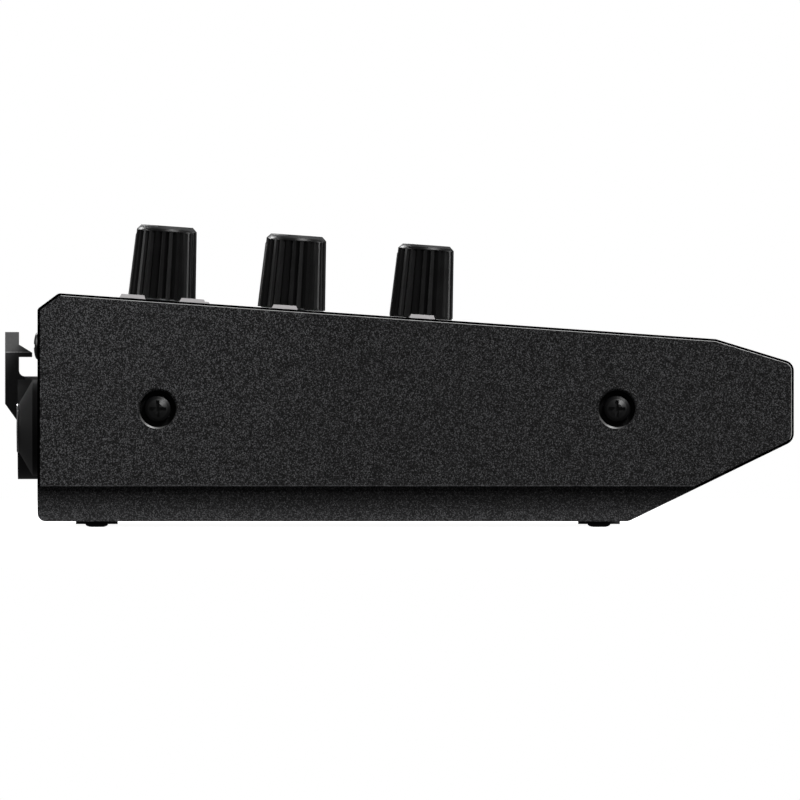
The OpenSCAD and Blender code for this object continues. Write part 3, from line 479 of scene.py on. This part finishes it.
def window_finish():
    """Smoked plastic window with a few smears."""
    finish = Finish("smoked_window", (0.012, 0.012, 0.014), 0.25, specular=0.3)
    smear = finish.noise(10 * MM)
    finish.put("Roughness", 0.22 + smear * 0.08)
    finish.put("Base Color", finish.blend(smear, (0.010, 0.010, 0.012), (0.016, 0.016, 0.018)))
    return finish.material


def ink_finish(name, base):
    """Screen-printed ink, slightly uneven."""
    base = Vector(base)
    finish = Finish(name, base, 0.55)
    density = finish.noise(0.8 * MM)
    finish.put("Base Color", finish.blend(density, base * 0.88, base * 1.04))
    return finish.material


def make_finishes():
    """One finish for each material slot of the record, and those of the added pieces."""
    return {
        "cheek_plastic": cheek_finish(),
        "panel_paint": plate_finish(),
        "circuit_board": board_finish(),
        "plain_steel": metal_finish("plated_steel", (0.6, 0.61, 0.62), 0.28),
        "pad_silicone": pad_finish(),
        "black_plastic": hook_finish(),
        "knob_plastic": knob_finish(),
        "lit_button": lamp_finish("milky_button", colours().lamp, 0.0),
        "smoked_window": window_finish(),
        "light_bar": lamp_finish("light_bar", (0.7, 0.7, 0.67), 0.0),
        "gold_plate": metal_finish("gold_plate", (0.9, 0.62, 0.22), 0.2),
        "foot_rubber": plain_black("foot_rubber", 0.75, 0.2, 0.6 * MM, 0.05 * MM, 0.03),
        "black_steel": plain_black("black_oxide", 0.33, 0.6, 0.4 * MM, 0.02 * MM, 0.004),
        "gloss_button": plain_black("gloss_black", 0.12, 0.6, 2 * MM, 0.005 * MM),
        "ink": ink_finish("white_ink", colours().ink),
        "white_ring": ink_finish("white_insulator", (0.75, 0.75, 0.73)),
        "red_ring": ink_finish("red_insulator", (0.45, 0.02, 0.015)),
        "polished_rim": metal_finish("polished_rim", (0.55, 0.55, 0.56), 0.2),
        "white_plastic": ink_finish("white_plastic", (0.7, 0.7, 0.68)),
        "green_lamp": lamp_finish("green_lamp", (0.04, 0.35, 0.06), 0.25),
        "amber_lamp": lamp_finish("amber_lamp", (0.6, 0.25, 0.02), 0.25),
        "red_lamp": lamp_finish("red_lamp", (0.55, 0.03, 0.02), 0.25),
    }


# Filled by the finishes step, which runs first
FINISHES = {}


# Modelling helpers


def deselect():
    """Leaves edit mode, and nothing selected."""
    if bpy.context.object and bpy.context.object.mode != "OBJECT":
        bpy.ops.object.mode_set(mode="OBJECT")
    bpy.ops.object.select_all(action="DESELECT")


def keep(piece, name, body, finish):
    """Names a finished piece, settles it at the origin and ties it to its body and slot."""
    deselect()
    piece.select_set(True)
    bpy.context.view_layer.objects.active = piece
    bpy.ops.object.transform_apply(location=True, rotation=True, scale=True)
    piece.name = name
    piece.data.name = name
    piece.data.materials.clear()
    piece.data.materials.append(FINISHES[finish])
    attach(piece, body)
    return piece


def join(pieces):
    """Makes one piece of several."""
    deselect()
    for piece in pieces:
        piece.select_set(True)
    bpy.context.view_layer.objects.active = pieces[0]
    if len(pieces) > 1:
        bpy.ops.object.join()
    return pieces[0]


def apply_modifiers(piece):
    """Applies all modifiers of a piece, from the top of its stack."""
    deselect()
    piece.select_set(True)
    bpy.context.view_layer.objects.active = piece
    for modifier in list(piece.modifiers):
        bpy.ops.object.modifier_apply(modifier=modifier.name)


def panel_frame(origin):
    """Axes of the sloping panel at a point: X across, Y up the slope and Z out of the plate."""
    turn = Matrix((ACROSS, UP_SLOPE, NORMAL)).transposed().to_4x4()
    return Matrix.Translation(origin) @ turn


def rear_frame(place, y=REAR_FACE):
    """Axes for what faces the rear, on the rear panel or at another Y: Z points rearward."""
    return Matrix.Translation((place.x, y, place.z)) @ Matrix.Rotation(-math.pi / 2, 4, "X")


def rounded_block(size, edge=0.0, segments=1, centre=(0, 0, 0)):
    """A block with every edge rounded, or left sharp where `edge` is 0."""
    deselect()
    bpy.ops.mesh.primitive_cube_add(size=1, location=centre)
    piece = bpy.context.object
    piece.scale = size
    bpy.ops.object.transform_apply(location=False, rotation=False, scale=True)
    if edge > 0:
        rounding = piece.modifiers.new("rounding", "BEVEL")
        rounding.width = edge
        rounding.segments = segments
        apply_modifiers(piece)
        bpy.ops.object.shade_smooth_by_angle(angle=SMOOTH)
    return piece


def cut_by(piece, cutter):
    """Takes the shape of one object out of another."""
    cut = piece.modifiers.new("cut", "BOOLEAN")
    cut.operation = "DIFFERENCE"
    cut.object = cutter
    apply_modifiers(piece)
    bpy.data.objects.remove(cutter)
    return piece


def ring(outer, inner, thick, rounding, corners=48):
    """A ring standing on Z = 0 with its edges rounded; six corners make a nut."""
    deselect()
    bpy.ops.mesh.primitive_cylinder_add(vertices=48, radius=inner, depth=4 * thick)
    cutter = bpy.context.object
    deselect()
    middle = (0, 0, thick / 2)
    bpy.ops.mesh.primitive_cylinder_add(vertices=corners, radius=outer, depth=thick, location=middle)
    piece = cut_by(bpy.context.object, cutter)
    edge = piece.modifiers.new("edge", "BEVEL")
    edge.width = rounding
    edge.segments = 2
    edge.limit_method = "ANGLE"
    edge.angle_limit = math.radians(40)
    apply_modifiers(piece)
    bpy.ops.object.shade_smooth_by_angle(angle=SMOOTH)
    return piece


def domed_pin(radius, length):
    """A pin standing on Z = 0 with a rounded tip."""
    deselect()
    bpy.ops.mesh.primitive_cylinder_add(vertices=24, radius=radius, depth=length, location=(0, 0, length / 2))
    piece = bpy.context.object
    tip = piece.modifiers.new("tip", "BEVEL")
    tip.width = radius * 0.7
    tip.segments = 4
    apply_modifiers(piece)
    bpy.ops.object.shade_smooth_by_angle(angle=SMOOTH)
    return piece


def set_on(piece, matrix):
    """Moves a piece by a matrix, and gives it back."""
    piece.matrix_world = matrix @ piece.matrix_world
    return piece


def copies(pattern, places):
    """Stands a copy of a piece, with a mesh of its own, at each place, and takes the pattern away."""
    made = []
    for place in places:
        deselect()
        pattern.select_set(True)
        bpy.context.view_layer.objects.active = pattern
        bpy.ops.object.duplicate()
        made.append(set_on(bpy.context.object, place))
    bpy.data.objects.remove(pattern)
    return made


def plate_point(x, along, above=0.0):
    """A point over the top plate: `along` metres down the slope from the first row of knobs."""
    base = Vector((x, ROW_ONE.y, ROW_ONE.z)) - UP_SLOPE * along
    return base + NORMAL * (above - KNOB_BASE_OVER_PLATE)


def along_of(point):
    """How far down the slope from the first row a point lies."""
    return (ROW_ONE - Vector(point)).dot(UP_SLOPE)


def node_middle(name):
    """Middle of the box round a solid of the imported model."""
    low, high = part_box(name)
    return (low + high) / 2


def phono_mounts(side):
    """Places of the phono sockets of one channel: left ones are above, right ones below."""
    names = [name for name in MOUNTS if name.startswith("phono") and name.endswith("_" + side)]
    return [MOUNTS[name] for name in names]


def knob_radius(knob):
    """Radius of a knob at its foot."""
    low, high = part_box(knob + "_knob")
    return (high.x - low.x) / 2


class MIXER_OT_finishes(bpy.types.Operator):
    """Gives every solid of the mixer its finish"""

    bl_idname = "mixer.finishes"
    bl_label = "Finishes"

    def execute(self, context):
        FINISHES.update(make_finishes())
        slots = {part["node"]: part["material_slot"] for part in frame["record"]["subparts"]}
        for name, node in frame["nodes"].items():
            for slot in node.material_slots:
                slot.material = FINISHES[slots[name]]
        return {"FINISHED"}


class MIXER_OT_pointers(bpy.types.Operator):
    """Puts a white line on the side and top of each knob"""

    bl_idname = "mixer.pointers"
    bl_label = "Knob pointers"

    def execute(self, context):
        for knob in KNOBS:
            self.add_pointer(knob, knob_radius(knob), self.knob_height(knob))
        return {"FINISHED"}

    def knob_height(self, knob):
        """Height of a knob along its own axis, from the height of the box round the leaning knob."""
        low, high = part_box(knob + "_knob")
        tilt = abs(NORMAL.y)
        lean = (2 * knob_radius(knob) + KNOB_BEVEL * (math.tan(KNOB_DRAFT) - 1)) * tilt
        return (high.z - low.z - lean) / (NORMAL.z - math.tan(KNOB_DRAFT) * tilt)

    def add_pointer(self, knob, radius, height):
        """A line that runs up the side from the foot to under the bevel, and one across the crown."""
        joint = JOINTS[knob + "_turn"]
        side_depth, side_short = 0.24 * MM, 1.2 * MM
        side_height = height - KNOB_BEVEL - side_short
        side = rounded_block((sizes().pointer, side_depth, side_height / math.cos(KNOB_DRAFT)), 0.03 * MM)
        middle = Vector((0, radius - side_height / 2 * math.tan(KNOB_DRAFT), side_height / 2))
        set_on(side, Matrix.Translation(middle) @ Matrix.Rotation(KNOB_DRAFT, 4, "X"))
        crown = radius - (height - KNOB_BEVEL) * math.tan(KNOB_DRAFT) - KNOB_BEVEL
        film, length, out = 0.08 * MM, crown * 0.6, crown * 0.62
        centre = (0, out, height + film * 0.15)
        top = rounded_block((sizes().pointer, length, film), 0.02 * MM, centre=centre)
        piece = join([side, top])
        deselect()
        piece.select_set(True)
        bpy.ops.object.transform_apply(location=True, rotation=True, scale=True)
        set_on(piece, panel_frame(Vector(joint["pos_m"])))
        keep(piece, knob + "_pointer", joint["child"], "ink")


class MIXER_OT_pads(bpy.types.Operator):
    """Models the two mats of rounded silicone pads"""

    bl_idname = "mixer.pads"
    bl_label = "Pads"

    def execute(self, context):
        rows = (FIRST_PAD_ROW, FIRST_PAD_ROW + PAD_ROW_PITCH)
        margin_x, margin_y, thick = 1.6 * MM, 2.6 * MM, 1.5 * MM
        mat_size = (3 * COLUMN_PITCH + PAD.x + margin_x, PAD_ROW_PITCH + PAD.y + margin_y, thick)
        mat_depth = 7.65 * MM
        for side, name in ((-1, "pads_left"), (1, "pads_right")):
            places = []
            for along in rows:
                for column in range(4):
                    x = side * (column + 0.5) * COLUMN_PITCH
                    places.append(panel_frame(plate_point(x, along, PAD_PROUD - PAD.z / 2)))
            parts = copies(rounded_block(PAD, sizes().pad_round, 4), places)
            mat_centre = plate_point(side * 2 * COLUMN_PITCH, sum(rows) / 2, -mat_depth)
            parts.append(set_on(rounded_block(mat_size, 0.3 * MM, 2), panel_frame(mat_centre)))
            piece = keep(join(parts), name, "chassis", "pad_silicone")
            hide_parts("pad_mats")
        return {"FINISHED"}


class MIXER_OT_print(bpy.types.Operator):
    """Prints the marks and lines on the top plate, and the frames round the sockets of the rear panel"""

    bl_idname = "mixer.print"
    bl_label = "Panel print"

    def execute(self, context):
        marks = self.dials() + self.sections() + self.fader_scale() + self.pad_numbers() + self.button_marks()
        keep(join(marks), "panel_print", "chassis", "ink")
        keep(join(self.socket_frames()), "rear_print", "chassis", "ink")
        return {"FINISHED"}

    def dials(self):
        """Marks in an arc round each knob, longer at both ends and in the middle."""
        count = sizes().ticks
        clear, long, short = 1.9 * MM, 1.5 * MM, 0.9 * MM
        places = {long: [], short: []}
        for knob in KNOBS:
            joint = JOINTS[knob + "_turn"]
            low, high = joint["range_deg"]
            foot = Vector(joint["pos_m"]) - NORMAL * KNOB_BASE_OVER_PLATE
            for at in range(count):
                length = long if at in (0, count // 2, count - 1) else short
                turn = Matrix.Rotation(math.radians(low + (high - low) * at / (count - 1)), 4, "Z")
                outward = Matrix.Translation((0, knob_radius(knob) + clear + length / 2, 0))
                places[length].append(panel_frame(foot) @ turn @ outward)
        made = []
        for length, spots in places.items():
            made += copies(rounded_block((MARK_WIDTH, length, INK_DEPTH)), spots)
        return made

    def lines(self, width, length, spots):
        """Lines of one size, each at a place across the mixer and a distance down the slope."""
        places = [panel_frame(plate_point(x, along)) for x, along in spots]
        return copies(rounded_block((width, length, INK_DEPTH)), places)

    def sections(self):
        """Lines between the columns of controls: columns from the middle, centre down the slope, length."""
        made = []
        for columns, along, length in ((2, 14.7 * MM, 55 * MM), (3, 27.5 * MM, 80.6 * MM)):
            spots = [(side * columns * COLUMN_PITCH, along) for side in (-1, 1)]
            made += self.lines(LINE_WIDTH, length, spots)
        return made

    def fader_scale(self):
        """Marks behind the crossfader, longer at both ends and in the middle, and lines beside its slot."""
        cap = along_of(node_middle("fader_cap"))
        step, behind, beside = 4.5 * MM, 4.5 * MM, 2.4 * MM
        marks = [(at * step, cap - behind) for at in range(-5, 6)]
        long_marks = marks[::5]
        short_marks = [mark for mark in marks if mark not in long_marks]
        made = self.lines(MARK_WIDTH, 2.4 * MM, long_marks)
        made += self.lines(MARK_WIDTH, 1.4 * MM, short_marks)
        return made + self.lines(56 * MM, LINE_WIDTH, [(0, cap - beside), (0, cap + beside)])

    def pad_numbers(self):
        """The digits 1 to 4 in front of the pads of each half."""
        in_front = 37.6 * MM
        made = []
        for first_column in (-4, 0):
            for at in range(4):
                x = (first_column + at + 0.5) * COLUMN_PITCH
                made.append(self.number(str(at + 1), x, FIRST_PAD_ROW + in_front))
        return made

    def number(self, text, x, along):
        """One printed number."""
        deselect()
        bpy.ops.object.text_add()
        label = bpy.context.object
        label.data.body = text
        label.data.size = 3.4 * MM
        label.data.align_x = "CENTER"
        label.data.extrude = INK_DEPTH / 2
        bpy.ops.object.convert(target="MESH")
        return set_on(bpy.context.object, panel_frame(plate_point(x, along)))

    def button_marks(self):
        """Two short lines in front of each button, the front one shorter."""
        middles = [node_middle(name) for name in BUTTONS]
        thick = 0.35 * MM
        made = []
        for width, in_front in ((5 * MM, 5.2 * MM), (3 * MM, 6.1 * MM)):
            spots = [(middle.x, along_of(middle) + in_front) for middle in middles]
            made += self.lines(width, thick, spots)
        return made

    def socket_frames(self):
        """A frame round each pair of phono sockets, open at the bottom, and round each jack socket."""
        rise = 2.5 * MM
        pairs = zip(phono_mounts("left"), phono_mounts("right"))
        middles = [(upper.x, (upper.z + lower.z) / 2 + rise) for upper, lower in pairs]
        jacks = [(mount.x, mount.z) for mount in JACKS]
        made = self.frames(width=14.6 * MM, height=25 * MM, ends=(1,), middles=middles)
        return made + self.frames(width=18.2 * MM, height=22 * MM, ends=(-1, 1), middles=jacks)

    def frames(self, width, height, ends, middles):
        """Frames of one size on the rear panel, closed at the `ends` given: -1 the bottom, 1 the top."""
        upright = (LINE_WIDTH, INK_DEPTH, height + LINE_WIDTH)
        bars = [rounded_block(upright, centre=(side * width / 2, 0, 0)) for side in (-1, 1)]
        level = (width, INK_DEPTH, LINE_WIDTH)
        bars += [rounded_block(level, centre=(0, 0, end * height / 2)) for end in ends]
        return copies(join(bars), [Matrix.Translation((x, REAR_FACE, z)) for x, z in middles])


class MIXER_OT_meters(bpy.types.Operator):
    """Sets the lamps into the two level meters"""

    bl_idname = "mixer.meters"
    bl_label = "Level meters"

    def execute(self, context):
        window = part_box("meter_windows")[1]
        rear_end = along_of(Vector((0, window.y, window.z)))
        inset_x, inset_end, reach, lift = 3.8 * MM, 0.6 * MM, 45.3 * MM, 0.2 * MM
        count = sizes().lamps
        pitch = reach / count
        amber, red = count * 2 // 3, count * 5 // 6
        bands = {"green_lamp": (0, amber), "amber_lamp": (amber, red), "red_lamp": (red, count)}
        for side, name in ((-1, "left"), (1, "right")):
            x = side * (window.x - inset_x)
            places = []
            for at in range(count):
                along = rear_end + reach + inset_end - (at + 0.5) * pitch
                places.append(panel_frame(plate_point(x, along, lift)))
            lamps = copies(rounded_block((3.4 * MM, pitch * 0.55, 0.1 * MM), 0.04 * MM), places)
            for finish, (first, end) in bands.items():
                keep(join(lamps[first:end]), f"{name}_meter_{finish}", "chassis", finish)
        return {"FINISHED"}


class MIXER_OT_sockets(bpy.types.Operator):
    """Trims the sockets: nuts, coloured insulators, contacts and pins"""

    bl_idname = "mixer.sockets"
    bl_label = "Socket trim"

    def execute(self, context):
        self.jacks()
        self.phonos()
        self.ports()
        return {"FINISHED"}

    def jacks(self):
        """A washer and a nut on each jack socket, and a rim in the front one."""
        washer_depth, bore = 0.5 * MM, 5.55 * MM
        washer = ring(outer=7.5 * MM, inner=bore, thick=washer_depth, rounding=0.12 * MM)
        nut = ring(outer=7.1 * MM, inner=bore, thick=1.7 * MM, rounding=0.2 * MM, corners=6)
        set_on(nut, Matrix.Translation((0, 0, washer_depth)))
        nuts = copies(join([washer, nut]), [rear_frame(mount) for mount in JACKS])
        keep(join(nuts), "jack_nuts", "chassis", "plain_steel")
        place = MOUNTS["headphone_socket"]
        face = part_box("jack_sockets")[0].y
        rim = ring(outer=3.2 * MM, inner=1.9 * MM, thick=0.09 * MM, rounding=0.03 * MM)
        facing = Matrix.Translation((place.x, face, place.z)) @ Matrix.Rotation(math.pi / 2, 4, "X")
        keep(set_on(rim, facing), "headphone_rim", "chassis", "plain_steel")

    def phonos(self):
        """A coloured flange and insulating disc on each phono socket."""
        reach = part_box("phono_sockets")[1].y - REAR_FACE
        for side, finish in (("left", "white_ring"), ("right", "red_ring")):
            flange = ring(outer=6.1 * MM, inner=4.2 * MM, thick=1.3 * MM, rounding=0.4 * MM)
            disc = ring(outer=3.5 * MM, inner=1.8 * MM, thick=0.2 * MM, rounding=0.08 * MM)
            set_on(disc, Matrix.Translation((0, 0, reach)))
            places = [rear_frame(mount) for mount in phono_mounts(side)]
            rings = copies(join([flange, disc]), places)
            keep(join(rings), "phono_insulators_" + side, "chassis", finish)

    def ports(self):
        """The tongue and contacts of the USB socket, and the pin of the DC inlet."""
        place = MOUNTS["usb_port"]
        reach, recess = 7 * MM, 1.44 * MM
        middle = REAR_FACE - recess - reach / 2
        tongue_size = (5.72 * MM, reach, 3.32 * MM)
        tongue = rounded_block(tongue_size, 0.4 * MM, 2, (place.x, middle, place.z))
        keep(tongue, "usb_tongue", "chassis", "white_plastic")
        contact = rounded_block((1 * MM, reach * 0.75, 0.1 * MM), 0.03 * MM)
        places = []
        for x in (-1.25 * MM, 1.25 * MM):
            for z in (-1.67 * MM, 1.67 * MM):
                places.append(Matrix.Translation((place.x + x, middle + 0.6 * MM, place.z + z)))
        keep(join(copies(contact, places)), "usb_contacts", "chassis", "gold_plate")
        place = MOUNTS["dc_inlet"]
        pin_foot = REAR_FACE - 10.4 * MM
        pin = set_on(domed_pin(radius=1.06 * MM, length=9 * MM), rear_frame(place, pin_foot))
        keep(pin, "dc_pin", "chassis", "plain_steel")


class MIXER_OT_marks(bpy.types.Operator):
    """Adds the rim round the power button, its symbol and the line on the fader cap"""

    bl_idname = "mixer.marks"
    bl_label = "Power button and fader marks"

    def execute(self, context):
        self.power_rim()
        self.power_symbol()
        self.fader_line()
        return {"FINISHED"}

    def power_rim(self):
        """A polished rim on the face of the guard."""
        middle = node_middle("power_guard")
        rim = ring(outer=5.5 * MM, inner=4.92 * MM, thick=0.55 * MM, rounding=0.22 * MM)
        set_on(rim, rear_frame(middle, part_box("power_guard")[1].y))
        keep(rim, "power_rim", "chassis", "polished_rim")

    def power_symbol(self):
        """An open circle with a stroke in its gap, which rides on the button."""
        middle = node_middle("power_guard")
        ink, edge, sunk = 0.06 * MM, 0.015 * MM, 0.01 * MM
        circle = ring(outer=2.1 * MM, inner=1.75 * MM, thick=ink, rounding=edge)
        gap = rounded_block((1.5 * MM, 2 * MM, 1 * MM), centre=(0, -2 * MM, 0))
        stroke = rounded_block((0.36 * MM, 1.9 * MM, ink), edge, centre=(0, -1.75 * MM, ink / 2))
        symbol = join([cut_by(circle, gap), stroke])
        set_on(symbol, rear_frame(middle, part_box("power_button")[1].y - sunk))
        keep(symbol, "power_symbol", JOINTS["power_press"]["child"], "ink")

    def fader_line(self):
        """A white line across the fader cap, which rides with it."""
        sunk = 0.46 * MM
        line = rounded_block((0.66 * MM, 11.8 * MM, 0.12 * MM), 0.03 * MM)
        set_on(line, panel_frame(plate_point(0, 2 * ROW_PITCH, FADER_TOP - sunk)))
        keep(line, "fader_line", JOINTS["crossfader_slide"]["child"], "ink")


class MIXER_OT_stage(bpy.types.Operator):
    """Lays the floor and places the lights and the camera"""

    bl_idname = "mixer.stage"
    bl_label = "Stage"

    def execute(self, context):
        self.floor()
        self.world()
        self.lamps()
        self.camera()
        context.scene.view_settings.view_transform = "Standard"
        return {"FINISHED"}

    def floor(self):
        """A pale floor, 0.02 mm under the feet, that no glossy or diffuse ray sees."""
        deselect()
        bpy.ops.mesh.primitive_plane_add(size=4, location=(0, 0, -0.02 * MM))
        floor = bpy.context.object
        floor.name = "floor"
        finish = Finish("pale_floor", (0.6, 0.6, 0.6), 0.9, specular=0.1)
        finish.put("Emission Color", (1, 1, 1, 1))
        finish.put("Emission Strength", 0.96)
        floor.data.materials.append(finish.material)
        floor.visible_diffuse = False
        floor.visible_glossy = False

    def world(self):
        """A white backdrop for the camera, and a dim room, lighter towards its ceiling, for all else."""
        world = bpy.data.worlds.new("studio")
        bpy.context.scene.world = world
        world.use_nodes = True
        nodes = Nodes(world.node_tree)
        way = nodes.node("ShaderNodeTexCoord", {}, {}, "Generated")
        height = nodes.node("ShaderNodeSeparateXYZ", {}, {0: way}, "Z")
        room = nodes.ramp(height, -0.15, 0.9, 0.06, 0.14)
        seen = nodes.node("ShaderNodeLightPath", {}, {}, "Is Camera Ray")
        background = nodes.find("BACKGROUND")
        nodes.feed(background.inputs["Color"], (1, 1, 1, 1))
        nodes.feed(background.inputs["Strength"], seen + (1 - seen) * room)

    def lamps(self):
        """Soft lamps: name, place, the point it faces, width in metres and power in watts."""
        self.lamp("key", (-1.5, -0.7, 1.1), (-0.1, 0, 0.03), 0.35, 27)
        self.lamp("overhead", (-0.15, -0.55, 1.4), (0, 0, 0.03), 0.6, 9)
        self.lamp("rear_side", (-0.2, 1.5, 0.7), (-0.05, 0.05, 0.03), 0.9, 8)
        self.lamp("front", (0.7, -1.4, 0.5), (0, 0, 0.04), 0.8, 10)
        self.lamp("far_side", (1.3, 0.6, 1.0), (0, 0, 0.03), 0.5, 8)

    def lamp(self, name, place, aim, size, power):
        """One square area lamp."""
        deselect()
        bpy.ops.object.light_add(type="AREA", location=place)
        lamp = bpy.context.object
        lamp.name = name
        lamp.data.size = size
        lamp.data.energy = power
        toward = Vector(aim) - Vector(place)
        lamp.rotation_euler = toward.to_track_quat("-Z", "Y").to_euler()

    def camera(self):
        """A long lens level with the mixer, looking at its left cheek."""
        lens, sensor = 1600.0, 36.0
        image, pixel = 800, 0.2225 * MM
        distance = image * pixel * lens / sensor
        place = (-115 * MM - distance, -0.4 * MM, 28.26 * MM)
        deselect()
        bpy.ops.object.camera_add(location=place, rotation=(math.pi / 2, 0, -math.pi / 2))
        camera = bpy.context.object
        camera.name = "camera"
        camera.data.lens = lens
        camera.data.sensor_width = sensor
        camera.data.clip_end = 2 * distance
        bpy.context.scene.camera = camera


class MIXER_PT_panel(bpy.types.Panel):
    """Lists the steps that dress the mixer"""

    bl_idname = "MIXER_PT_panel"
    bl_label = "DJ mixer"
    bl_space_type = "VIEW_3D"
    bl_region_type = "UI"
    bl_category = "Mixer"

    def draw(self, context):
        for group in (context.scene.mixer_colours, context.scene.mixer_sizes):
            for key in group.__annotations__:
                self.layout.prop(group, key)
        for step in STEPS:
            self.layout.operator(step.bl_idname)


STEPS = (
    MIXER_OT_finishes,
    MIXER_OT_pointers,
    MIXER_OT_pads,
    MIXER_OT_print,
    MIXER_OT_meters,
    MIXER_OT_sockets,
    MIXER_OT_marks,
    MIXER_OT_stage,
)
CLASSES = (MixerColours, MixerSizes, *STEPS, MIXER_PT_panel)


def register():
    """Adds the classes to Blender, and their settings to each scene."""
    for item in CLASSES:
        bpy.utils.register_class(item)
    bpy.types.Scene.mixer_colours = PointerProperty(type=MixerColours)
    bpy.types.Scene.mixer_sizes = PointerProperty(type=MixerSizes)


def unregister():
    """Takes away what register adds."""
    del bpy.types.Scene.mixer_sizes
    del bpy.types.Scene.mixer_colours
    for item in reversed(CLASSES):
        bpy.utils.unregister_class(item)


def main():
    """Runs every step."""
    register()
    for step in STEPS:
        group, name = step.bl_idname.split(".")
        getattr(getattr(bpy.ops, group), name)()
    bpy.context.view_layer.update()


if __name__ == "__main__":
    main()
